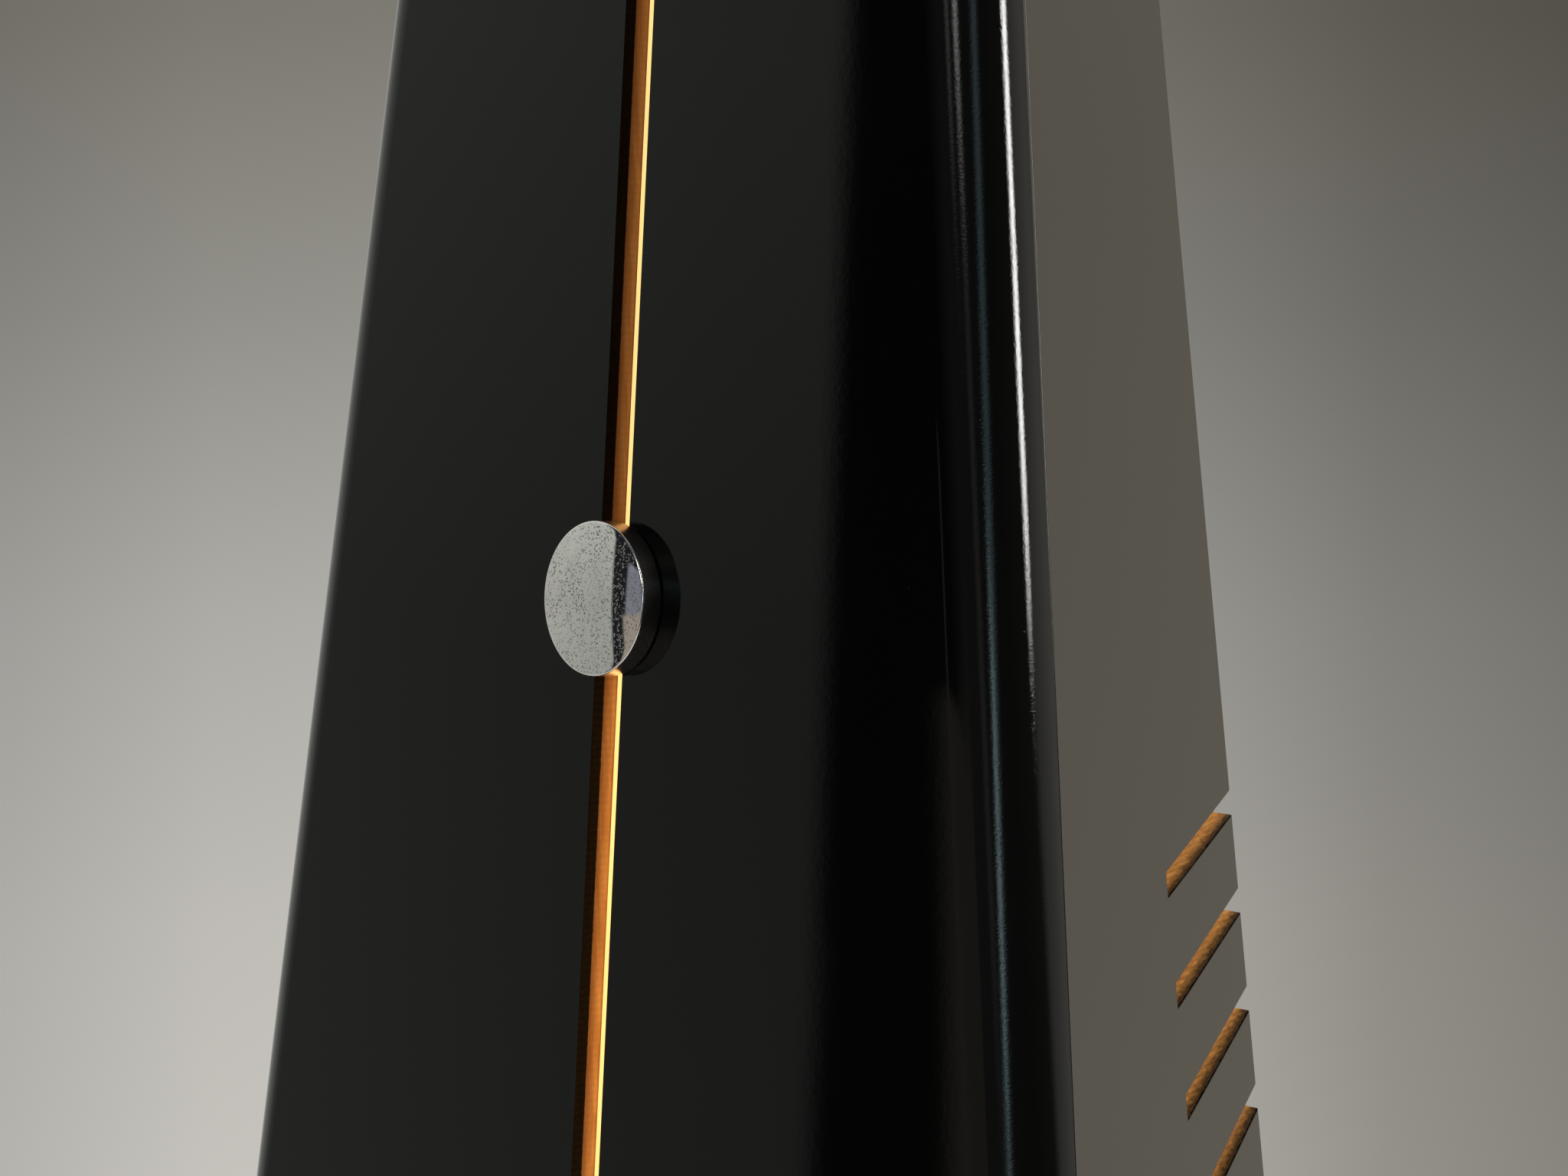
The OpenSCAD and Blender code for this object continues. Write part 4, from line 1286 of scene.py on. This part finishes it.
    def surround(self, g: Graph, turn: bpy.types.NodeSocket,
                 rise: bpy.types.NodeSocket) -> bpy.types.NodeSocket:
        """Give what surfaces reflect: a pale wide studio with a dark gap on one side.

        Args:
            g: The world's graph.
            turn: The direction's bearing in degrees, 0 in front and positive to the right.
            rise: The direction's angle above the horizon in degrees.

        Returns:
            The colour.
        """
        leaning = g.sum("ADD", turn, g.span(rise, *self.lean_rise, *self.lean_turn))
        # The ramp runs once round, with the front in its middle
        full, middle = 360, 0.5
        seen = g.ramp(g.sum("ADD", g.sum("MULTIPLY", leaning, 1 / full), middle),
                      [(bearing / full + middle, colour) for bearing, colour in self.around])
        wall = g.mix(g.span(turn, *self.wall_turn), *self.wall)
        lower = g.mix(g.span(rise, *self.wall_rise), (1.0, 1.0, 1.0), self.wall_low)
        wall = g.mix(1.0, wall, lower, "MULTIPLY")
        edge = g.sum("ADD", turn, g.sum("MULTIPLY", rise, self.wall_tilt))
        reach = g.sum("MULTIPLY", g.span(turn, *self.wall_start),
                      g.span(edge, self.wall_end + self.wall_fade, self.wall_end))
        seen = g.mix(reach, seen, wall)
        for patch in self.patches:
            seen = g.mix(patch.share(g, turn, rise), seen, patch.colour)
        return seen

    def hang(self, panel: Panel) -> None:
        """Hang a soft light that faces the metronome.

        Args:
            panel: The light's place, size and colour.
        """
        turn, tilt = math.radians(panel.bearing), math.radians(panel.rise)
        toward = Vector((math.sin(turn) * math.cos(tilt), -math.cos(turn) * math.cos(tilt), math.sin(tilt)))
        pick_nothing()
        bpy.ops.object.light_add(type="AREA", location=Vector(self.aim) + toward * self.light_distance)
        light = bpy.context.object
        light.name = panel.name
        light.rotation_euler = toward.to_track_quat("Z", "Y").to_euler()
        light.data.shape = "RECTANGLE"
        light.data.size, light.data.size_y = panel.size
        light.data.energy = panel.radiance * math.pi * panel.size[0] * panel.size[1]
        light.data.color = panel.tint
        light.visible_camera = False

    def build(self) -> None:
        """Build the whole studio."""
        bpy.context.scene.view_settings.view_transform = "Standard"
        self.camera()
        self.floor()
        self.world()
        for panel in self.panels:
            self.hang(panel)


# ---------------------------------------------------------------- case


# Cosines that tell which way a face looks, and how near the seam an edge stays sharp
PARALLEL = 0.999
SQUARE_ON = 0.9
REARWARDS = 0.95
UPWARDS = 0.8
EDGE_ON = 0.5
ASLANT = 0.3
SEAM_REACH = 0.1 * MM


class Coat(IntEnum):
    """The material slots of a board, by what was done to its faces."""

    LACQUERED = 0
    CUT = 1
    BARE = 2


@dataclass
class Joinery(Assembly):
    """A sub-assembly with lacquered boards that are sawn through."""

    board: float = 12 * MM
    paint_in: float = 0.4 * MM
    fuzz: float = 1.6 * MM
    broken: float = 0.25 * MM

    def coat(self, piece: bpy.types.Object, name: str, cut: PaintedEdge) -> None:
        """Give a board its materials, in the order of Coat.

        Args:
            piece: The board.
            name: Its node.
            cut: The finish of what is sawn through it.
        """
        piece.data.materials.clear()
        for material in (Finish.LACQUER.material(), made(f"cut_{name}", cut.dress),
                         Finish.WOOD.material()):
            piece.data.materials.append(material)

    def complete(self, piece: bpy.types.Object, name: str, seam: Callable[[Vector], bool]) -> None:
        """Break a board's edges, shade it and stand it in for its node.

        Args:
            piece: The board.
            name: Its node.
            seam: Tells whether a corner lies on the seam between case and cover.
        """
        break_edges(piece, self.broken, seam)
        smooth(piece)
        wear(piece, self.body_of(name), None, name)


@dataclass
class Case(Joinery):
    """Plinth, sides, back and cap."""

    # The slots' wood is the case's wood painted warmer and more orange, a painted glow of the lamp's warm
    # light; its painted shade darkens the cut near the outer face
    slot_wood: SawnWood = SawnWood((0.98, 0.52, 0.15), (0.48, 0.215, 0.048), marks=0.5)
    slot_scorch: Colour = (0.035, 0.017, 0.005)
    plain: Plain = field(default_factory=lambda: {
        "plinth": (Finish.LACQUER, 0.6), "top_cap": (Finish.LACQUER, 0.6),
        "feet": (Finish.RUBBER, 0.3), "back_panel": (Finish.PLY, 0.3),
        "back_battens": (Finish.WOOD, 0.3), "back_screws": (Finish.STEEL, 0.12)})

    def side(self, name: str) -> None:
        """Dress one side panel: lacquer outside, sawn wood in its slots, bare wood inside.

        Args:
            name: The panel's node.
        """
        piece = merged_copy(self.node(name), f"{name}_finished")
        face = max(piece.data.polygons, key=lambda p: (round(p.area, 5), abs(p.center.x)))
        outward = face.normal.copy()
        if outward.x * face.center.x < 0:
            outward = -outward
        flats = [p for p in piece.data.polygons if p.normal.dot(outward) > PARALLEL]
        level = max(p.center.dot(outward) for p in flats)
        self.coat(piece, name, PaintedEdge(
            -outward, -level, self.paint_in, self.fuzz, self.board, self.slot_wood,
            self.slot_scorch, scorch_share=0.96, scorch_full=0.8 * MM, scorch_in=3.6 * MM))
        for p in piece.data.polygons:
            facing = p.normal.dot(outward)
            bare = facing < -SQUARE_ON or p.normal.y > REARWARDS
            p.material_index = Coat.LACQUERED if facing > SQUARE_ON else Coat.BARE if bare else Coat.CUT
        seam = self.lean.reach(self.node(name))[0].y + SEAM_REACH
        self.complete(piece, name, lambda at: self.lean.depth(at) < seam)

    def build(self) -> None:
        """Build the case."""
        self.side("side_panel_left")
        self.side("side_panel_right")
        self.polish_plain()


@dataclass
class Cover(Joinery):
    """The front board with its rounded corners and long slit."""

    board: float = 8 * MM
    paint_in: float = 3.5 * MM
    fuzz: float = 0.5 * MM
    broken: float = 0.3 * MM
    slit_within: float = 12 * MM
    slit_slack: float = 1.02
    above_slit: float = 10 * MM
    plain: Plain = field(default_factory=lambda: {"cover_pegs": (Finish.BRASS, 0.3)})

    def coat_of(self, face: bpy.types.MeshPolygon, half_slit: float, slit_top: float) -> Coat:
        """Tell what was done to a face of the front board.

        Args:
            face: The face.
            half_slit: Half the slit's width.
            slit_top: A height above the slit and below the board's top.

        Returns:
            Cut in the slit, bare behind, lacquered outside.
        """
        facing = face.normal.dot(self.lean.out)
        in_slit = abs(face.center.x) < half_slit * self.slit_slack and abs(facing) < EDGE_ON
        if in_slit and self.lean.height(face.center) < slit_top:
            return Coat.CUT
        if facing < -ASLANT:
            return Coat.BARE
        outer = face.normal.x * face.center.x > 0 or abs(face.normal.z) > UPWARDS
        return Coat.LACQUERED if outer or facing > ASLANT else Coat.BARE

    def build(self) -> None:
        """Build the cover."""
        node = self.node("front_cover")
        piece = merged_copy(node, "front_cover_finished")
        self.coat(piece, "front_cover", PaintedEdge(-self.lean.out, self.lean.front, self.paint_in,
                                                    self.fuzz, self.board))
        half_slit = max(abs(v.co.x) for v in piece.data.vertices if abs(v.co.x) < self.slit_within)
        high = self.lean.reach(node)[1]
        for face in piece.data.polygons:
            face.material_index = self.coat_of(face, half_slit, high.z - self.above_slit)
        seam = high.y - SEAM_REACH
        self.complete(piece, "front_cover", lambda at: self.lean.depth(at) > seam)
        self.polish_plain()


@dataclass
class TempoDisc(Assembly):
    """The domed chrome disc and the slide behind it."""

    rise: float = 0.75 * MM
    edge: float = 0.5 * MM
    edge_steps: int = 4
    chamfer: float = 0.3 * MM
    rings: int = 14
    sides: int = 160
    wall_below: float = 0.2
    face_above: float = 0.99
    smooth_below: float = 40.0
    plain: Plain = field(default_factory=lambda: {
        "guide_block": (Finish.BRASS, 0.2), "slide_washer": (Finish.FELT, 0.2),
        "tempo_yoke": (Finish.BRASS, 0.12), "yoke_screws": (Finish.STEEL, 0.1)})

    def coat(self, facing: float) -> Finish:
        """Give the finish of a face of the disc.

        Args:
            facing: How squarely the face looks forwards, from 0 to 1.

        Returns:
            Dull chrome on the wall, rubbed chrome on the rounded edge, else pitted chrome.
        """
        if facing < self.wall_below:
            return Finish.DULL_CHROME
        return Finish.RUBBED_CHROME if facing < self.face_above else Finish.CHROME

    def disc(self) -> None:
        """Turn the domed disc."""
        low, high = self.lean.reach(self.node("tempo_disc"))
        radius = (high.x - low.x) / 2
        thick = high.y - low.y
        rim = thick - self.rise
        dome = (radius * radius + self.rise * self.rise) / (2 * self.rise)
        profile = [(radius - self.chamfer, 0.0), (radius, self.chamfer), (radius, rim - self.edge)]
        for step in range(1, self.edge_steps + 1):
            turn = step / self.edge_steps * math.pi / 2
            profile.append((radius - self.edge * (1 - math.cos(turn)),
                            rim - self.edge * (1 - math.sin(turn))))
        inner = radius - self.edge
        for step in range(1, self.rings):
            wide = inner * (1 - step / self.rings)
            profile.append((wide, rim + math.sqrt(dome * dome - wide * wide)
                            - math.sqrt(dome * dome - inner * inner)))
        place = self.lean.facing(0.0, high.y, (low.z + high.z) / 2)
        piece = turned("tempo_disc_turned", profile, place, self.sides)
        coats = (Finish.CHROME, Finish.DULL_CHROME, Finish.RUBBED_CHROME)
        for finish in coats:
            piece.data.materials.append(finish.material())
        for p in piece.data.polygons:
            p.material_index = coats.index(self.coat(abs(p.normal.dot(self.lean.out))))
        smooth(piece, self.smooth_below)
        wear(piece, "disc", None, "tempo_disc")

    def build(self) -> None:
        """Build the disc and its slide."""
        self.disc()
        self.polish_plain()


@dataclass
class Pendulum(Assembly):
    """Rod, bob, anchor and sliding weight."""

    plain: Plain = field(default_factory=lambda: {
        "pendulum_rod": (Finish.STEEL, 0.2), "pendulum_hub": (Finish.BRASS, 0.2),
        "pendulum_bob": (Finish.IRON, 0.4), "pendulum_arbor": (Finish.STEEL, 0.1),
        "pallet_anchor": (Finish.STEEL, 0.12), "tempo_weight": (Finish.BRASS, 0.3),
        "weight_pin": (Finish.STEEL, 0.1)})


@dataclass
class Movement(Assembly):
    """The clockwork: plates, spring barrel, wheels, click, key and stop."""

    plain: Plain = field(default_factory=lambda: {
        "movement_block": (Finish.WOOD, 0.4), "front_plate": (Finish.BRASS, 0.15),
        "rear_plate": (Finish.BRASS, 0.15), "plate_pillars": (Finish.BRASS, 0.15),
        "plate_screws": (Finish.BLUED, 0.08), "bracket_screws": (Finish.BLUED, 0.08),
        "plate_brackets": (Finish.BRASS, 0.15),
        "barrel": (Finish.BRASS, 0.2), "barrel_cover": (Finish.BRASS, 0.15),
        "great_wheel": (Finish.BRASS, 0.0), "mainspring": (Finish.BLUED, 0.0),
        "winding_arbor": (Finish.STEEL, 0.1), "ratchet_wheel": (Finish.STEEL, 0.1),
        "click": (Finish.STEEL, 0.1), "click_screw": (Finish.BLUED, 0.08),
        "click_spring": (Finish.STEEL, 0.08), "second_arbor": (Finish.STEEL, 0.0),
        "second_wheel": (Finish.BRASS, 0.0), "escape_arbor": (Finish.STEEL, 0.0),
        "escape_wheel": (Finish.BRASS, 0.0), "winding_key": (Finish.BRASS, 0.35),
        "stop_rod": (Finish.STEEL, 0.3), "stop_pad": (Finish.FELT, 0.3),
        "stop_bush": (Finish.BRASS, 0.15)})


@dataclass
class ScaleLamp(Assembly):
    """The lit scale sheet with its tempo marks, and the lamp behind it."""

    slowest: int = 40
    fastest: int = 208
    steps: tuple[tuple[int, int], ...] = ((60, 2), (72, 3), (120, 4), (144, 6), (fastest, 8))
    column: float = 41 * MM
    figure: float = 6.5 * MM
    figure_proud: float = 0.03 * MM
    figure_curve: int = 3
    tick: Triple = (7 * MM, 0.6 * MM, 0.06 * MM)
    tick_inwards: float = 11 * MM
    print_at: float = 0.04 * MM
    margin: float = 30 * MM
    ink: Moulded = Moulded((0.03, 0.018, 0.01), 0.6)
    plain: Plain = field(default_factory=lambda: {
        "scale_rails": (Finish.WOOD, 0.3), "scale_screws": (Finish.STEEL, 0.1),
        "lamp_tube": (Finish.TUBE, 0.3), "lamp_caps": (Finish.ALUMINIUM, 0.2),
        "lamp_holders": (Finish.WHITE_PLASTIC, 0.3), "reflector": (Finish.ALUMINIUM, 0.1)})

    def tempos(self) -> list[int]:
        """List the tempo marks, in steps that widen as the beat quickens.

        Returns:
            The beats a minute, slowest first.
        """
        marks, tempo = [], self.slowest
        for limit, step in self.steps:
            while tempo < limit:
                marks.append(tempo)
                tempo += step
        return marks + [self.fastest]

    def marks(self) -> None:
        """Print the tempo figures and their ticks on the sheet, in two columns."""
        low, high = self.lean.reach(self.node("scale_plate"))
        start, stop = low.z + self.margin, high.z - self.margin
        pieces = []
        for index, tempo in enumerate(self.tempos()):
            share = math.log(tempo / self.slowest) / math.log(self.fastest / self.slowest)
            level = stop - (stop - start) * share
            side = 1 if index % 2 else -1
            pieces.append(self.figure_at(str(tempo), side * self.column, level, low.y))
            pieces.append(self.tick_at(side * (self.column - self.tick_inwards), level, low.y))
        pick(*pieces)
        bpy.ops.object.join()
        joined = bpy.context.object
        joined.name = "tempo_figures"
        joined.data.materials.clear()
        joined.data.materials.append(made("scale_ink", self.ink.dress))
        wear(joined, "case", None)

    def figure_at(self, text: str, x: float, level: float, depth: float) -> bpy.types.Object:
        """Print one figure.

        Args:
            text: The figure.
            x: Its middle across the sheet.
            level: Its middle up the sheet.
            depth: Depth of the sheet's face.

        Returns:
            The mesh.
        """
        pick_nothing()
        bpy.ops.object.text_add()
        figure = bpy.context.object
        figure.data.body = text
        figure.data.size = self.figure
        figure.data.align_x = "CENTER"
        figure.data.align_y = "CENTER"
        figure.data.extrude = self.figure_proud
        figure.data.resolution_u = self.figure_curve
        bpy.ops.object.convert(target="MESH")
        return set_place(bpy.context.object, self.lean.facing(x, depth - self.print_at, level))

    def tick_at(self, x: float, level: float, depth: float) -> bpy.types.Object:
        """Print one tick beside its figure.

        Args:
            x: Its middle across the sheet.
            level: Its middle up the sheet.
            depth: Depth of the sheet's face.

        Returns:
            The mesh.
        """
        pick_nothing()
        bpy.ops.mesh.primitive_cube_add(size=1, scale=self.tick)
        tick = bpy.context.object
        bpy.ops.object.transform_apply(location=True, rotation=True, scale=True)
        return set_place(tick, self.lean.facing(x, depth - self.print_at, level))

    def build(self) -> None:
        """Build the scale and lamp."""
        self.polish("scale_plate", Finish.OPAL, 0.15)
        self.marks()
        self.polish_plain()


@dataclass
class Electrics(Assembly):
    """Inlet, switch and the leads between them and the lamp."""

    plain: Plain = field(default_factory=lambda: {
        "power_inlet": (Finish.BLACK_PLASTIC, 0.25), "inlet_pins": (Finish.STEEL, 0.1),
        "switch_bezel": (Finish.BLACK_PLASTIC, 0.25), "switch_rocker": (Finish.BLACK_PLASTIC, 0.3)})

    def build(self) -> None:
        """Build the electrical pieces; the leads are round and have no edges to break."""
        self.polish_plain()
        self.polish("leads", Finish.CABLE, 0.0, 60.0)


# ---------------------------------------------------------------- the whole


def main() -> None:
    """Build the studio and every sub-assembly, and note the sizes."""
    logging.basicConfig(level=logging.INFO, format="%(name)s %(message)s")
    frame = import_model()
    lean = Lean.of(frame)
    Studio().build()
    for assembly in (Case, Cover, TempoDisc, Pendulum, Movement, ScaleLamp, Electrics):
        LOG.info("%s", assembly.__doc__)
        assembly(frame, lean).build()


if __name__ == "__main__":
    main()
